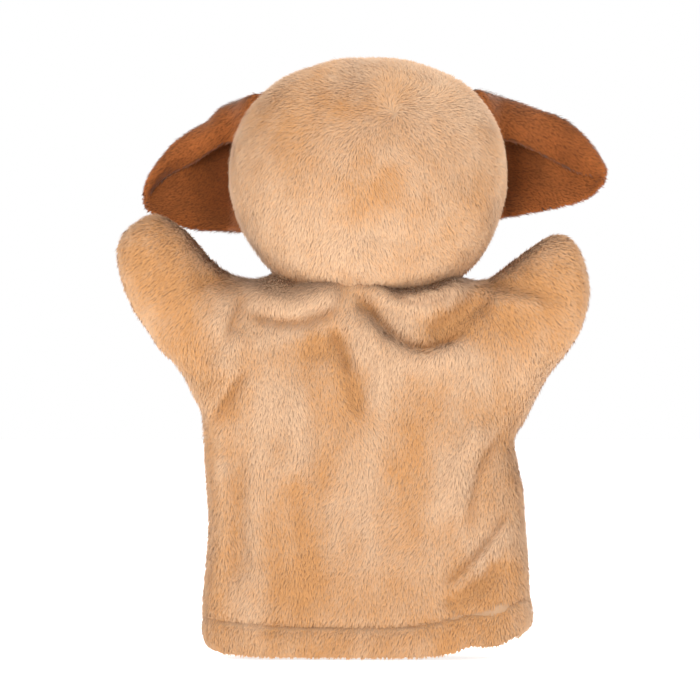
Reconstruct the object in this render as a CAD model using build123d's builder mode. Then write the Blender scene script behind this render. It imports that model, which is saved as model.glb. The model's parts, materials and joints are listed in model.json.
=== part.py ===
from build123d import *
from math import cos, radians, sin
import os

# A glove puppet of a puppy, in millimetres. +Z is up, -Y is where the face looks, and +X is the
# puppet's left. The origin is the middle of the hand opening, at the hem's lower edge.

# ---- cloth and clearances ----
WALL = 2.4  # plush with its pile, one layer
LINING = 1.2  # plain woven lining
THREAD_R = 0.45
GAP = 0.3  # between soft pieces that lie against each other
JOINT_GAP = 0.6  # between pieces on different bodies
SEAM_WIDTH = 4.0  # turned-in seam allowance
SEAM_EASE = 2.5  # room between the body's edge and the seam allowance
SEAM_STOP = 12.0  # how far below the chest the side seams end

# ---- glove body ----
HEM_HALF_WIDTH = 68.0
HEM_HALF_DEPTH = 20.0
WAIST_HEIGHT = 55.0
WAIST_HALF_WIDTH = 66.0
WAIST_HALF_DEPTH = 24.0
CHEST_HEIGHT = 100.0
CHEST_HALF_WIDTH = 66.0
CHEST_HALF_DEPTH = 27.0
SHOULDER_HEIGHT = 128.0
SHOULDER_HALF_WIDTH = 58.0
SHOULDER_HALF_DEPTH = 26.0
BODY_TOP = 146.0
TOP_HALF_WIDTH = 45.0
TOP_HALF_DEPTH = 23.0
HEM_LINE = 15.0  # height of the stitching over the edge
HEM_LINE_TAKE_IN = 0.6  # how much closer to the middle the sides are at the stitching than at the edge
HEM_LINE_SWELL = 0.6  # how much further out the front and back are at the stitching than at the edge
HEM_LINE_HALF_WIDTH = HEM_HALF_WIDTH - HEM_LINE_TAKE_IN
HEM_LINE_HALF_DEPTH = HEM_HALF_DEPTH + HEM_LINE_SWELL
HEM_TURNUP = 18.0  # height of the cloth turned up inside
HEM_EASE = 1.4  # room between the body and the turn-up
STITCH_LENGTH = 2.6
STITCHES_PER_SIDE = 24
LABEL_WIDTH = 18.0
LABEL_HEIGHT = 26.0
LABEL_THICKNESS = 0.8

# ---- arms: root centre, length, rise above the level, and half sizes along the arm ----
ARM_X = {"left": 60.5, "right": -55.7}
ARM_Z = {"left": 129.0, "right": 123.4}
ARM_LENGTH = {"left": 64.0, "right": 59.5}
ARM_RISE = {"left": 56.0, "right": 59.0}
ARM_ROOT_HALF = {"left": 21.5, "right": 21.5}
ARM_MID_HALF = {"left": 20.0, "right": 20.5}
ARM_END_HALF = {"left": 16.5, "right": 15.0}
ARM_ROOT_DEPTH = 20.0
ARM_MID_DEPTH = 18.0
ARM_END_DEPTH = 12.5
ARM_LEAN = 7.0  # how far the tip stands back of the root
SHOULDER_RADIUS = 32.0  # the sphere about which an arm swings

# ---- head ----
HEAD_HALF_WIDTH = 57.8
HEAD_HALF_DEPTH = 50.0
HEAD_HALF_HEIGHT = 49.0
HEAD_Z = 201.0
HEAD_RIM = 162.0  # lower edge of the head's skin
HEAD_SEAM_X = 3.4  # the back seam is a little off centre
NECK_Z = 154.0  # centre of the head's movements
RIM_SHARE = (1 - ((HEAD_Z - HEAD_RIM) / (HEAD_HALF_HEIGHT - WALL)) ** 2) ** 0.5
NECK_SIDE_EASE = 3.32  # from the neck's cloth to the inside of the head's rim, at the sides
NECK_FACE_EASE = 10.55  # the same at the front and back
NECK_HALF_WIDTH = (HEAD_HALF_WIDTH - WALL) * RIM_SHARE - NECK_SIDE_EASE
NECK_HALF_DEPTH = (HEAD_HALF_DEPTH - WALL) * RIM_SHARE - NECK_FACE_EASE
NECK_LOW = 139.0
NECK_SEAM_RISE = 7.5  # the neck seam over the centre of the head's movements
NECK_SEAM_HEIGHT = 3.0
POCKET_RADIUS = 10.0
POCKET_TOP = 222.0
POCKET_MOUTH = 166.0

# ---- face ----
MUZZLE_Y = -48.0
MUZZLE_Z = 186.0
MUZZLE_HALF = (25.0, 20.0, 19.0)
EYE_X = 20.0
EYE_Z = 212.0
EYE_RADIUS = 6.0
NOSE_Z = 193.0
NOSE_HALF = (9.0, 5.5, 6.5)
SHANK_RADIUS = 2.0
SHANK_LENGTH = 10.0
WASHER_RADIUS = 6.5
WASHER_THICKNESS = 1.5
NOSE_SHANK_LENGTH = 10.0
NOSE_WASHER_RADIUS = 4.5
MOUTH_WIDTH = 20.0
MOUTH_DROP = 9.0
MOUTH_THREAD = 1.6

# ---- ears: outlines in the plane of X and Z, from the top of the root round to its foot ----
EAR_Y = -28.0
EAR_LAYER = 2.6
EAR_STANDOFF = 2.4  # from the head's skin, for the hinge
EAR_OUTLINE = {
    "left": [(36, 239), (61, 231), (78, 219), (88, 207), (93, 193), (89, 184), (75, 179), (54, 178)],
    "right": [(35, 238), (57, 234), (83, 228), (98, 213), (100, 199), (91, 191), (75, 186), (56, 183)],
}
EAR_ROOT = [(40, 186), (26, 214)]  # hidden by the head
EAR_INSET = 1.5

SIDES = {"left": 1, "right": -1}
os.makedirs("parts", exist_ok=True)


def ellipse_solid(sections):
    """A solid through ellipses, each given as its plane, half width and half depth."""
    with BuildPart() as solid:
        for plane, half_width, half_depth in sections:
            with BuildSketch(plane):
                Ellipse(half_width, half_depth)
        loft()
    return solid.part


def ellipsoid(half_width, half_depth, half_height, center):
    """An ellipsoid with its three half sizes along X, Y and Z."""
    ball = Sphere(1.0, mode=Mode.PRIVATE)
    halves = (half_width, half_depth, half_height)
    return Pos(*center) * scale(ball, by=halves, mode=Mode.PRIVATE)


def finish(builder, name):
    """Labels a finished piece and writes it to its own file."""
    builder.part.label = name
    export_step(builder.part, f"parts/{name}.step")


# ---------------------------------------------------------------- shared shapes


def body_solid(inset, overshoot):
    """The glove's trunk, inset from its outer surface and longer at both ends by overshoot."""
    levels = [
        (-overshoot, HEM_HALF_WIDTH, HEM_HALF_DEPTH),
        (HEM_LINE, HEM_LINE_HALF_WIDTH, HEM_LINE_HALF_DEPTH),
        (WAIST_HEIGHT, WAIST_HALF_WIDTH, WAIST_HALF_DEPTH),
        (CHEST_HEIGHT, CHEST_HALF_WIDTH, CHEST_HALF_DEPTH),
        (SHOULDER_HEIGHT, SHOULDER_HALF_WIDTH, SHOULDER_HALF_DEPTH),
        (BODY_TOP + overshoot, TOP_HALF_WIDTH, TOP_HALF_DEPTH),
    ]
    return ellipse_solid([(Plane.XY.offset(z), w - inset, d - inset) for z, w, d in levels])


def arm_root(side):
    """Centre of the arm's root, which is the centre of the shoulder's movements."""
    return Vector(ARM_X[side], 0, ARM_Z[side])


def arm_direction(side):
    """Unit vector from the arm's root towards its tip, in the plane of X and Z."""
    rise = radians(ARM_RISE[side])
    return Vector(SIDES[side] * cos(rise), 0, sin(rise))


def arm_plane(side, along):
    """The plane across the arm at a distance from its root, with its local X across the arm."""
    back = ARM_LEAN * max(along, 0) / ARM_LENGTH[side]
    center = arm_root(side) + arm_direction(side) * along + Vector(0, back, 0)
    across = Vector(0, 1, 0).cross(arm_direction(side))
    return Plane(origin=center, x_dir=across, z_dir=arm_direction(side))


def arm_solid(side, inset):
    """One arm as a tapering tube with a rounded end, inset from its outer surface."""
    length = ARM_LENGTH[side]
    stations = [
        (-0.22 * length, ARM_ROOT_HALF[side], ARM_ROOT_DEPTH),
        (0.12 * length, 0.5 * (ARM_ROOT_HALF[side] + ARM_MID_HALF[side]), ARM_ROOT_DEPTH),
        (0.50 * length, ARM_MID_HALF[side], ARM_MID_DEPTH),
        (0.80 * length, ARM_END_HALF[side], ARM_END_DEPTH),
        (0.94 * length, 0.76 * ARM_END_HALF[side], 0.76 * ARM_END_DEPTH),
        (length, 0.45 * ARM_END_HALF[side], 0.45 * ARM_END_DEPTH),
    ]
    return ellipse_solid(
        [
            (arm_plane(side, along - (inset if along > 0 else 0)), half - inset, depth - inset)
            for along, half, depth in stations
        ]
    )


def ball(radius, center):
    """A sphere about a centre."""
    return Pos(*center) * Sphere(radius, mode=Mode.PRIVATE)


def head_solid(inset):
    """The head's egg shape, inset from its outer surface."""
    halves = (HEAD_HALF_WIDTH - inset, HEAD_HALF_DEPTH - inset, HEAD_HALF_HEIGHT - inset)
    return ellipsoid(*halves, (0, 0, HEAD_Z))


def head_surface_y(x, z):
    """Y of the face's outer surface over a point."""
    share = 1 - (x / HEAD_HALF_WIDTH) ** 2 - ((z - HEAD_Z) / HEAD_HALF_HEIGHT) ** 2
    return -HEAD_HALF_DEPTH * share**0.5


def muzzle_solid(grow):
    """The muzzle's ellipsoid, grown by a distance."""
    halves = [half + grow for half in MUZZLE_HALF]
    return ellipsoid(*halves, (0, MUZZLE_Y, MUZZLE_Z))


def along_y(radius, x, z, low, high):
    """A cylinder along Y between two values of Y."""
    rod = Cylinder(radius, high - low, mode=Mode.PRIVATE)
    return Pos(x, (low + high) / 2, z) * Rot(90, 0, 0) * rod


def along_z(radius, low, high):
    """A cylinder on the Z axis between two heights."""
    return Pos(0, 0, (low + high) / 2) * Cylinder(radius, high - low, mode=Mode.PRIVATE)


body_outer = body_solid(0, 0)
body_inner = body_solid(WALL, 1.0)
arm_outer = {side: arm_solid(side, 0) for side in SIDES}
arm_inner = {side: arm_solid(side, WALL) for side in SIDES}
shoulder_outer = {
    side: arm_outer[side] & ball(SHOULDER_RADIUS - JOINT_GAP, arm_root(side)) for side in SIDES
}
shoulder_inner = {side: arm_inner[side] & ball(SHOULDER_RADIUS + 1, arm_root(side)) for side in SIDES}

# ---------------------------------------------------------------- glove body

with BuildPart() as body_shell:
    add(body_outer)
    for side in SIDES:
        add(shoulder_outer[side])
    add(body_inner, mode=Mode.SUBTRACT)
    for side in SIDES:
        add(shoulder_inner[side], mode=Mode.SUBTRACT)

with BuildPart() as body_back:
    add(body_shell.part)
    split(bisect_by=Plane.XZ, keep=Keep.BOTTOM)
finish(body_back, "body_back")

with BuildPart() as body_front:
    add(body_shell.part)
    split(bisect_by=Plane.XZ, keep=Keep.TOP)
finish(body_front, "body_front")

with BuildPart() as hem_turnup:
    inset = WALL + HEM_EASE
    with BuildSketch():
        Ellipse(HEM_HALF_WIDTH - inset, HEM_HALF_DEPTH - inset)
        Ellipse(HEM_HALF_WIDTH - inset - WALL, HEM_HALF_DEPTH - inset - WALL, mode=Mode.SUBTRACT)
    extrude(amount=HEM_TURNUP)
    # the body may narrow over the stitching, and the turn-up follows its inside
    add(body_solid(WALL + GAP, 1.0), mode=Mode.INTERSECT)
finish(hem_turnup, "hem_turnup")

with BuildPart() as hem_stitching:
    for count in range(2 * STITCHES_PER_SIDE):
        turn = radians(180.0 * (count + 0.5) / STITCHES_PER_SIDE)
        out_x = (HEM_LINE_HALF_WIDTH + THREAD_R + GAP) * cos(turn)
        out_y = (HEM_LINE_HALF_DEPTH + THREAD_R + GAP) * sin(turn)
        heading = Vector(-HEM_LINE_HALF_WIDTH * sin(turn), HEM_LINE_HALF_DEPTH * cos(turn), 0)
        with BuildSketch(Plane(origin=(out_x, out_y, HEM_LINE), z_dir=heading)):
            Circle(THREAD_R)
        extrude(amount=STITCH_LENGTH / 2, both=True)
finish(hem_stitching, "hem_stitching")

seam_reach = WAIST_HALF_WIDTH - WALL - SEAM_EASE
for side, sign in SIDES.items():
    with BuildPart() as side_seam:
        with BuildSketch(Plane.XY.offset(HEM_TURNUP + GAP)):
            with Locations((sign * (seam_reach - SEAM_WIDTH / 2), 0)):
                Rectangle(SEAM_WIDTH, WALL)
        extrude(amount=CHEST_HEIGHT - SEAM_STOP - HEM_TURNUP)
    finish(side_seam, f"side_seam_{side}")

with BuildPart() as care_label:
    with BuildSketch(Plane.XY.offset(HEM_TURNUP + GAP)):
        with Locations((seam_reach - SEAM_WIDTH - LABEL_WIDTH / 2, 0)):
            Rectangle(LABEL_WIDTH, LABEL_THICKNESS)
    extrude(amount=LABEL_HEIGHT)
finish(care_label, "care_label")

# ---------------------------------------------------------------- shoulders and arms

for side, sign in SIDES.items():
    root = arm_root(side)

    # the seam allowance under the arm, an arc about the shoulder's centre
    with BuildPart() as underarm_seam:
        radius = ARM_ROOT_HALF[side] - WALL - SEAM_WIDTH
        with BuildSketch(Plane(origin=root, x_dir=(1, 0, 0), z_dir=(0, -1, 0))):
            with BuildLine():
                start = -40 if sign > 0 else 190
                outer = CenterArc((0, 0), radius, start, 30)
                inner = CenterArc((0, 0), radius - WALL, start, 30)
                Line(outer @ 0, inner @ 0)
                Line(outer @ 1, inner @ 1)
            make_face()
        extrude(amount=WALL / 2, both=True)
    finish(underarm_seam, f"underarm_seam_{side}")

    with BuildPart() as arm_shell:
        add(arm_outer[side])
        add(arm_inner[side], mode=Mode.SUBTRACT)
        add(ball(SHOULDER_RADIUS, root), mode=Mode.SUBTRACT)

    across = Vector(0, 1, 0).cross(arm_direction(side))
    along = arm_direction(side) + Vector(0, ARM_LEAN / ARM_LENGTH[side], 0)
    parting = Plane(origin=root, x_dir=along, z_dir=along.cross(across))
    for face, keep in (("back", Keep.TOP), ("front", Keep.BOTTOM)):
        with BuildPart() as arm_half:
            add(arm_shell.part)
            split(bisect_by=parting, keep=keep)
        finish(arm_half, f"arm_{side}_{face}")

# ---------------------------------------------------------------- neck

with BuildPart() as neck_gather:
    with BuildSketch(Plane.XY.offset(NECK_LOW)):
        Ellipse(NECK_HALF_WIDTH, NECK_HALF_DEPTH)
        Ellipse(NECK_HALF_WIDTH - WALL, NECK_HALF_DEPTH - WALL, mode=Mode.SUBTRACT)
    extrude(amount=NECK_Z - NECK_LOW - JOINT_GAP)
finish(neck_gather, "neck_gather")

with BuildPart() as neck_seam:
    with BuildSketch(Plane.XY.offset(NECK_Z + NECK_SEAM_RISE)):
        Ellipse(NECK_HALF_WIDTH, NECK_HALF_DEPTH)
        Ellipse(NECK_HALF_WIDTH - WALL, NECK_HALF_DEPTH - WALL, mode=Mode.SUBTRACT)
    extrude(amount=NECK_SEAM_HEIGHT)
finish(neck_seam, "neck_seam")

# ---------------------------------------------------------------- head

eye_places = {side: (sign * EYE_X, EYE_Z) for side, sign in SIDES.items()}

with BuildPart() as head_shell:
    add(head_solid(0))
    add(head_solid(WALL), mode=Mode.SUBTRACT)
    split(bisect_by=Plane.XY.offset(HEAD_RIM), keep=Keep.TOP)

for side, keep in (("left", Keep.TOP), ("right", Keep.BOTTOM)):
    with BuildPart() as head_back:
        add(head_shell.part)
        split(bisect_by=Plane.XZ, keep=Keep.BOTTOM)
        split(bisect_by=Plane.YZ.offset(HEAD_SEAM_X), keep=keep)
    finish(head_back, f"head_back_{side}")

with BuildPart() as face_panel:
    add(head_shell.part)
    split(bisect_by=Plane.XZ, keep=Keep.TOP)
    for x, z in eye_places.values():
        add(along_y(SHANK_RADIUS + GAP, x, z, -HEAD_HALF_DEPTH, 0), mode=Mode.SUBTRACT)
finish(face_panel, "face_panel")

with BuildPart() as finger_pocket:
    add(along_z(POCKET_RADIUS + LINING, POCKET_MOUTH, POCKET_TOP))
    add(ball(POCKET_RADIUS + LINING, (0, 0, POCKET_TOP)))
    add(along_z(POCKET_RADIUS, POCKET_MOUTH, POCKET_TOP), mode=Mode.SUBTRACT)
    add(ball(POCKET_RADIUS, (0, 0, POCKET_TOP)), mode=Mode.SUBTRACT)
finish(finger_pocket, "finger_pocket")

with BuildPart() as head_stuffing:
    add(head_solid(WALL + GAP))
    split(bisect_by=Plane.XY.offset(HEAD_RIM + 4), keep=Keep.TOP)
    pocket = POCKET_RADIUS + LINING + GAP
    add(along_z(pocket, HEAD_RIM, POCKET_TOP), mode=Mode.SUBTRACT)
    add(ball(pocket, (0, 0, POCKET_TOP)), mode=Mode.SUBTRACT)
    for x, z in eye_places.values():
        back = head_surface_y(x, z) + SHANK_LENGTH + 2 * WASHER_THICKNESS
        add(along_y(WASHER_RADIUS + GAP, x, z, -HEAD_HALF_DEPTH, back), mode=Mode.SUBTRACT)
finish(head_stuffing, "head_stuffing")

# ---------------------------------------------------------------- face

nose_y = MUZZLE_Y - MUZZLE_HALF[1] * (1 - ((NOSE_Z - MUZZLE_Z) / MUZZLE_HALF[2]) ** 2) ** 0.5

with BuildPart() as muzzle:
    add(muzzle_solid(0))
    add(muzzle_solid(-WALL), mode=Mode.SUBTRACT)
    add(head_solid(-GAP), mode=Mode.SUBTRACT)
    add(along_y(SHANK_RADIUS + GAP, 0, NOSE_Z, nose_y - 5, nose_y + 8), mode=Mode.SUBTRACT)
finish(muzzle, "muzzle")

with BuildPart() as muzzle_stuffing:
    add(muzzle_solid(-WALL - GAP))
    add(head_solid(-GAP), mode=Mode.SUBTRACT)
    nose_room = nose_y + NOSE_SHANK_LENGTH + 2 * WASHER_THICKNESS
    add(along_y(NOSE_WASHER_RADIUS + GAP, 0, NOSE_Z, nose_y - 5, nose_room), mode=Mode.SUBTRACT)
finish(muzzle_stuffing, "muzzle_stuffing")

for side, (x, z) in eye_places.items():
    skin = head_surface_y(x, z)
    with BuildPart() as eye:
        add(ball(EYE_RADIUS, (x, skin, z)))
        add(head_solid(-0.05), mode=Mode.SUBTRACT)
        add(along_y(SHANK_RADIUS, x, z, skin - 2, skin + SHANK_LENGTH + WASHER_THICKNESS))
    finish(eye, f"eye_{side}")

    with BuildPart() as eye_washer:
        front = skin + SHANK_LENGTH - WASHER_THICKNESS
        add(along_y(WASHER_RADIUS, x, z, front, front + WASHER_THICKNESS))
        add(along_y(SHANK_RADIUS + 0.05, x, z, front - 1, front + 4), mode=Mode.SUBTRACT)
    finish(eye_washer, f"eye_washer_{side}")

with BuildPart() as nose:
    add(ellipsoid(*NOSE_HALF, (0, nose_y, NOSE_Z)))
    add(muzzle_solid(0.05), mode=Mode.SUBTRACT)
    add(along_y(SHANK_RADIUS, 0, NOSE_Z, nose_y - 2, nose_y + NOSE_SHANK_LENGTH + WASHER_THICKNESS))
finish(nose, "nose")

with BuildPart() as nose_washer:
    front = nose_y + NOSE_SHANK_LENGTH - WASHER_THICKNESS
    add(along_y(NOSE_WASHER_RADIUS, 0, NOSE_Z, front, front + WASHER_THICKNESS))
    add(along_y(SHANK_RADIUS + 0.05, 0, NOSE_Z, front - 1, front + 4), mode=Mode.SUBTRACT)
finish(nose_washer, "nose_washer")

with BuildPart() as mouth_stitching:
    with BuildSketch(Plane.XZ.offset(-MUZZLE_Y)):
        low = MUZZLE_Z - MOUTH_DROP
        with BuildLine() as smile:
            Line((0, NOSE_Z - NOSE_HALF[2] - 1), (0, low))
        trace(line_width=MOUTH_THREAD)
        with BuildLine() as lips:
            ThreePointArc((-MOUTH_WIDTH / 2, low + 3), (-MOUTH_WIDTH / 4, low - 1.5), (0, low))
            ThreePointArc((0, low), (MOUTH_WIDTH / 4, low - 1.5), (MOUTH_WIDTH / 2, low + 3))
        trace(line_width=MOUTH_THREAD)
    extrude(amount=MUZZLE_HALF[1] + 5)
    add(muzzle_solid(MOUTH_THREAD / 2), mode=Mode.INTERSECT)
    add(muzzle_solid(0.05), mode=Mode.SUBTRACT)
finish(mouth_stitching, "mouth_stitching")

# ---------------------------------------------------------------- ears


def drawn_in(points, distance):
    """The points moved towards their middle by a distance."""
    middle = sum((Vector(*point) for point in points), Vector()) * (1 / len(points))
    return [Vector(*point) + (middle - Vector(*point)).normalized() * distance for point in points]


for side, sign in SIDES.items():
    outline = [(sign * x, z) for x, z in EAR_OUTLINE[side]]
    root_line = [(sign * x, z) for x, z in EAR_ROOT]
    # the outer cloth lies in front, and its lining faces back
    layers = {"outer": (EAR_Y, outline), "lining": (EAR_Y + EAR_LAYER + GAP, drawn_in(outline, EAR_INSET))}
    for layer, (start_y, points) in layers.items():
        with BuildPart() as ear:
            with BuildSketch(Plane.XZ.offset(-start_y)):
                with BuildLine():
                    edge = Spline(points)
                    Polyline([edge @ 1] + root_line + [edge @ 0])
                make_face()
            extrude(amount=-EAR_LAYER)
            add(head_solid(-EAR_STANDOFF), mode=Mode.SUBTRACT)
        finish(ear, f"ear_{side}_{layer}")
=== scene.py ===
import json
import math

import bmesh
import bpy
import numpy as np
from bpy.props import FloatProperty, FloatVectorProperty, IntProperty, PointerProperty
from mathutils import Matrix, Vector, noise
from mathutils.geometry import delaunay_2d_cdt


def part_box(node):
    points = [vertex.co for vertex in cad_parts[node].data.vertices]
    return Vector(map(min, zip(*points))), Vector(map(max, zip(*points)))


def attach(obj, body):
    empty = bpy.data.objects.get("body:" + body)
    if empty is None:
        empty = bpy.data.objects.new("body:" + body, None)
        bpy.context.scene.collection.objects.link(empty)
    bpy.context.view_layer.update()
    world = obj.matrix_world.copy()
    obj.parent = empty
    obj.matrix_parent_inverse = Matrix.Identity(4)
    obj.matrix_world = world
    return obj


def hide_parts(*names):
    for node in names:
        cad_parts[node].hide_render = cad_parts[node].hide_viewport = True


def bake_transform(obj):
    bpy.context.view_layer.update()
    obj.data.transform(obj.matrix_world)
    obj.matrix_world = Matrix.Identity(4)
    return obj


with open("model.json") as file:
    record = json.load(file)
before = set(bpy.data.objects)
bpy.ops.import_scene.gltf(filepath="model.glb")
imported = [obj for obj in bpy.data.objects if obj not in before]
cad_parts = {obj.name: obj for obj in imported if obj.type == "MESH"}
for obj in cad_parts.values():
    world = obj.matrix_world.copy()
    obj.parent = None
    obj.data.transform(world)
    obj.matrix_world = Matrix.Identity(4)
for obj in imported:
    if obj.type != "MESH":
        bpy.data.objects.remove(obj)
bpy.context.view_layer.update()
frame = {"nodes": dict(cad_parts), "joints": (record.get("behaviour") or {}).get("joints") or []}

bl_info = {
    "name": "Plush glove puppet",
    "version": (1, 0, 0),
    "blender": (4, 5, 0),
    "location": "View3D > Sidebar > Puppet",
    "description": "Builds the cloth, pile, seams, face and stage of a puppy glove puppet",
    "category": "Object",
}

MM = 0.001
JOINTS = {joint["name"]: joint for joint in frame["joints"]}
SIDES = {"left": 1, "right": -1}

# Pattern outline of the glove, in millimetres across and up, from the hem's left corner
LEFT_EDGE = [
    (61, 1.6), (66.2, 3.6), (68.4, 9), (68.3, 20), (67.3, 34), (65.7, 54), (66.6, 72), (67.6, 90),
    (68.6, 102), (72.5, 110), (76, 117), (80.5, 123.5), (86, 129), (90.5, 136), (96, 144.5),
    (100.5, 154), (103, 163), (103.4, 171), (100.5, 177.5), (95, 182), (88, 184.8), (80.6, 181.6),
    (74, 176.5), (67, 168), (60, 161.8), (52.5, 158.6), (45, 158), (39, 160.5), (36, 165),
]
RIGHT_EDGE = [
    (-35, 165), (-38, 160), (-44, 157.4), (-51, 157.8), (-56, 161), (-62, 165.5), (-69, 170.8),
    (-75, 174.8), (-81, 176.4), (-86, 173.8), (-89.5, 168.5), (-92, 161), (-93, 153), (-92, 145.5),
    (-89, 136.5), (-84, 128), (-77, 119), (-71.5, 109.5), (-66.5, 99.5), (-62, 91), (-63.4, 80),
    (-65.6, 69), (-66.4, 56), (-67.6, 42), (-68.3, 27), (-69.6, 18), (-68.8, 12.5), (-65.5, 9.4),
]
HEM_EDGE = [
    (-60, 7.6), (-55, 5), (-49, 4.7), (-43, 4.9), (-37, 2.6), (-29, 0.9), (-18, 0.4), (0, 0.2),
    (20, 0.3), (36, 0.4), (52, 1.0),
]
HEM_LEVEL = sorted([(-70, 12), (-66, 8), *HEM_EDGE, (61, 1.6), (66, 3.6), (69, 10)])
NECK_TOP = 166.0
STITCH_LINE = [
    (68.5, 16.6), (56, 15.2), (46, 14.3), (27, 13.3), (7, 12.8), (-12, 12.9), (-25, 14.3),
    (-34, 16.4), (-44, 18.4), (-52, 19.4), (-59, 21.6), (-66, 24.4),
]

# Where the body's cloth meets the head, behind: a wavy seam drawn in by its gathers
NECK_SEAM = [
    (-42, 158), (-36, 155.5), (-28, 152.5), (-19, 151), (-12, 152), (-4, 155.5), (3, 157.6), (10, 157.2),
    (20, 155.6), (30, 154.6), (36, 156.4), (42, 159),
]

# Folds of the back: height in mm (a valley is negative), half width in mm, and their course
BACK_FOLDS = [
    (3.6, 4.6, [(54, 156), (45, 153), (36, 149.6), (26.5, 149.2), (17, 152), (8, 157)]),
    (3.4, 4.4, [(2, 158), (-5, 154), (-12, 150.5), (-21, 150), (-31, 152.5), (-40, 157), (-48, 159)]),
    (-2.4, 2.4, [(6, 151), (0, 144.5), (-5, 138.4), (-11, 132.4)]),
    (2.2, 4.5, [(3, 143), (-2, 134), (-6, 125), (-6.5, 114), (-4, 102)]),
    (-3.4, 4.6, [(-24, 133.5), (-31, 137.6), (-38, 142), (-45, 147), (-52, 151.5)]),
    (2.4, 4.0, [(-12, 153), (-24, 152), (-35, 154), (-44, 157)]),
    (-2.6, 3.4, [(12, 142), (9.5, 134), (7, 126), (5.4, 113), (4.6, 99)]),
    (2.0, 5.0, [(62, 118), (57, 128), (52, 138)]),
    (-2.0, 4.0, [(54, 94), (53, 76), (52.5, 58), (53, 40), (55, 28)]),
    (1.4, 3.4, [(61, 96), (60.5, 70), (60.5, 40), (62, 24)]),
    (2.2, 4.4, [(-52, 102), (-44, 92), (-37, 78), (-33, 60)]),
    (-2.6, 4.2, [(-60, 42), (-53, 35.5), (-45, 29.5), (-36, 24.6), (-29, 22)]),
    (-2.0, 2.8, [(-46, 154.6), (-57, 155.4), (-68, 153.4), (-82, 149.6)]),
    (1.6, 3.6, [(-50, 149), (-62, 149), (-74, 146)]),
    (-1.6, 3.2, [(72, 155.4), (63, 157.4), (54, 157.6)]),
    (-1.6, 6.0, [(24, 132), (19, 129), (14, 126)]),
    (1.6, 7.0, [(30, 118), (27, 95), (30, 72)]),
    (-1.2, 6.0, [(20, 112), (17, 88), (22, 60), (26, 36)]),
]
# Folds that lie over the cloth below them: height, reach behind the edge, side on which the cloth is
# raised (1 when it is on the right of the course), and the course of the edge
BACK_OVERLAPS = [
    (4.6, 10.0, -1, [(8, 154), (5.4, 150), (0, 143.6), (-5.9, 136.5), (-13, 130.2), (-22.7, 126.6),
                     (-32.3, 128.6), (-40, 132), (-47, 137)]),
    (3.2, 5.0, 1, [(52, 149.5), (47, 147), (40, 144.8), (30, 143.6), (22, 144.8), (14.5, 148.2), (7, 153)]),
    (2.2, 5.0, 1, [(12, 142), (10, 137), (7.4, 131), (5, 125), (4, 118)]),
    (2.2, 5.0, -1, [(-6, 153), (-12, 148.5), (-20, 146), (-30, 147), (-40, 151.5)]),
    (2.6, 5.0, 1, [(-63, 64), (-57.5, 53), (-50, 43), (-41, 34), (-30, 26)]),
    (2.2, 6.0, -1, [(-58, 99), (-52, 93.6), (-47, 86), (-43.6, 77), (-41, 66), (-40, 52)]),
    (2.0, 5.0, -1, [(51, 156), (55.5, 148), (58.5, 140), (61, 131)]),
    (2.4, 6.0, 1, [(67, 99), (60, 110), (55, 118.5), (48, 124)]),
]
FRONT_FOLDS = [
    (-3.2, 3.2, [(-30, 150), (-16, 143), (-2, 141), (14, 144), (30, 151)]),
    (2.6, 4.6, [(-34, 153), (-16, 149), (0, 147), (18, 150), (34, 154)]),
    (-2.8, 3.0, [(50, 153), (56, 144), (60, 132)]),
    (-2.8, 3.0, [(-46, 151), (-52, 141), (-55, 128)]),
    (-2.6, 3.4, [(66, 100), (56, 110), (46, 116)]),
    (-2.6, 3.4, [(-60, 92), (-51, 103), (-42, 108)]),
    (-1.8, 6.0, [(-24, 130), (-18, 100), (-20, 60)]),
    (1.8, 7.0, [(8, 132), (3, 90), (8, 40)]),
    (-1.6, 5.0, [(34, 110), (38, 80), (36, 42)]),
]

# Patches where the pile looks warmer, partly from the pile lying against the brush and partly painted shade
# in the hollows between folds: middle, half sizes, strength
WARM_NAP_AND_SHADE_PATCHES = [
    ((27, 33), (17, 15), 0.75), ((19, 128), (9, 7), 0.8), ((-35, 141), (14, 8), 0.9),
    ((64, 60), (5, 46), 0.6), ((86, 164), (16, 16), 0.75), ((-76, 150), (14, 18), 0.55),
    ((-54, 33), (13, 9), 0.9), ((30, 66), (10, 12), 0.5), ((52, 116), (12, 12), 0.5),
    ((-60, 88), (7, 12), 0.5), ((6, 106), (7, 14), 0.45), ((-20, 84), (8, 30), 0.35),
    ((-58, 138), (12, 12), 0.35), ((74, 134), (12, 14), 0.4), ((12, 8), (44, 6), 0.35),
    ((-40, 14), (12, 7), 0.6),
]
HEAD_WARM = [
    ((-14, 190), (14, 7), 0.4), ((-6, 196), (8, 5), 0.4), ((30, 207), (15, 22), 0.3),
    ((12, 232), (22, 9), 0.35), ((-30, 172), (10, 6), 0.35), ((40, 226), (10, 10), 0.3),
    ((-46, 205), (6, 20), 0.3),
]
HEAD_PALE = [
    ((-26, 226), (14, 16), 0.3), ((-44, 220), (10, 14), 0.4), ((36, 188), (16, 16), 0.4),
    ((0, 240), (30, 8), 0.3), ((8, 172), (34, 9), 0.45), ((-32, 196), (10, 10), 0.3),
    ((50, 208), (6, 20), 0.3), ((-10, 210), (10, 12), 0.2),
]
# Patches where the pile looks paler, partly from the pile brushed with the nap and partly painted highlight
# on the ridges of folds: middle, half sizes, strength
PALE_NAP_AND_HIGHLIGHT_PATCHES = [
    ((-4, 122), (6, 20), 0.7), ((-16, 139), (9, 7), 0.8), ((38, 112), (13, 15), 0.6),
    ((44, 96), (10, 20), 0.5), ((-33, 66), (9, 26), 0.5), ((14, 52), (8, 14), 0.4),
    ((49, 44), (6, 34), 0.6), ((-44, 116), (12, 12), 0.5), ((32, 139), (14, 5), 0.6),
    ((-50, 46), (8, 9), 0.6), ((0, 80), (9, 26), 0.35), ((60, 148), (8, 8), 0.4),
]

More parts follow.
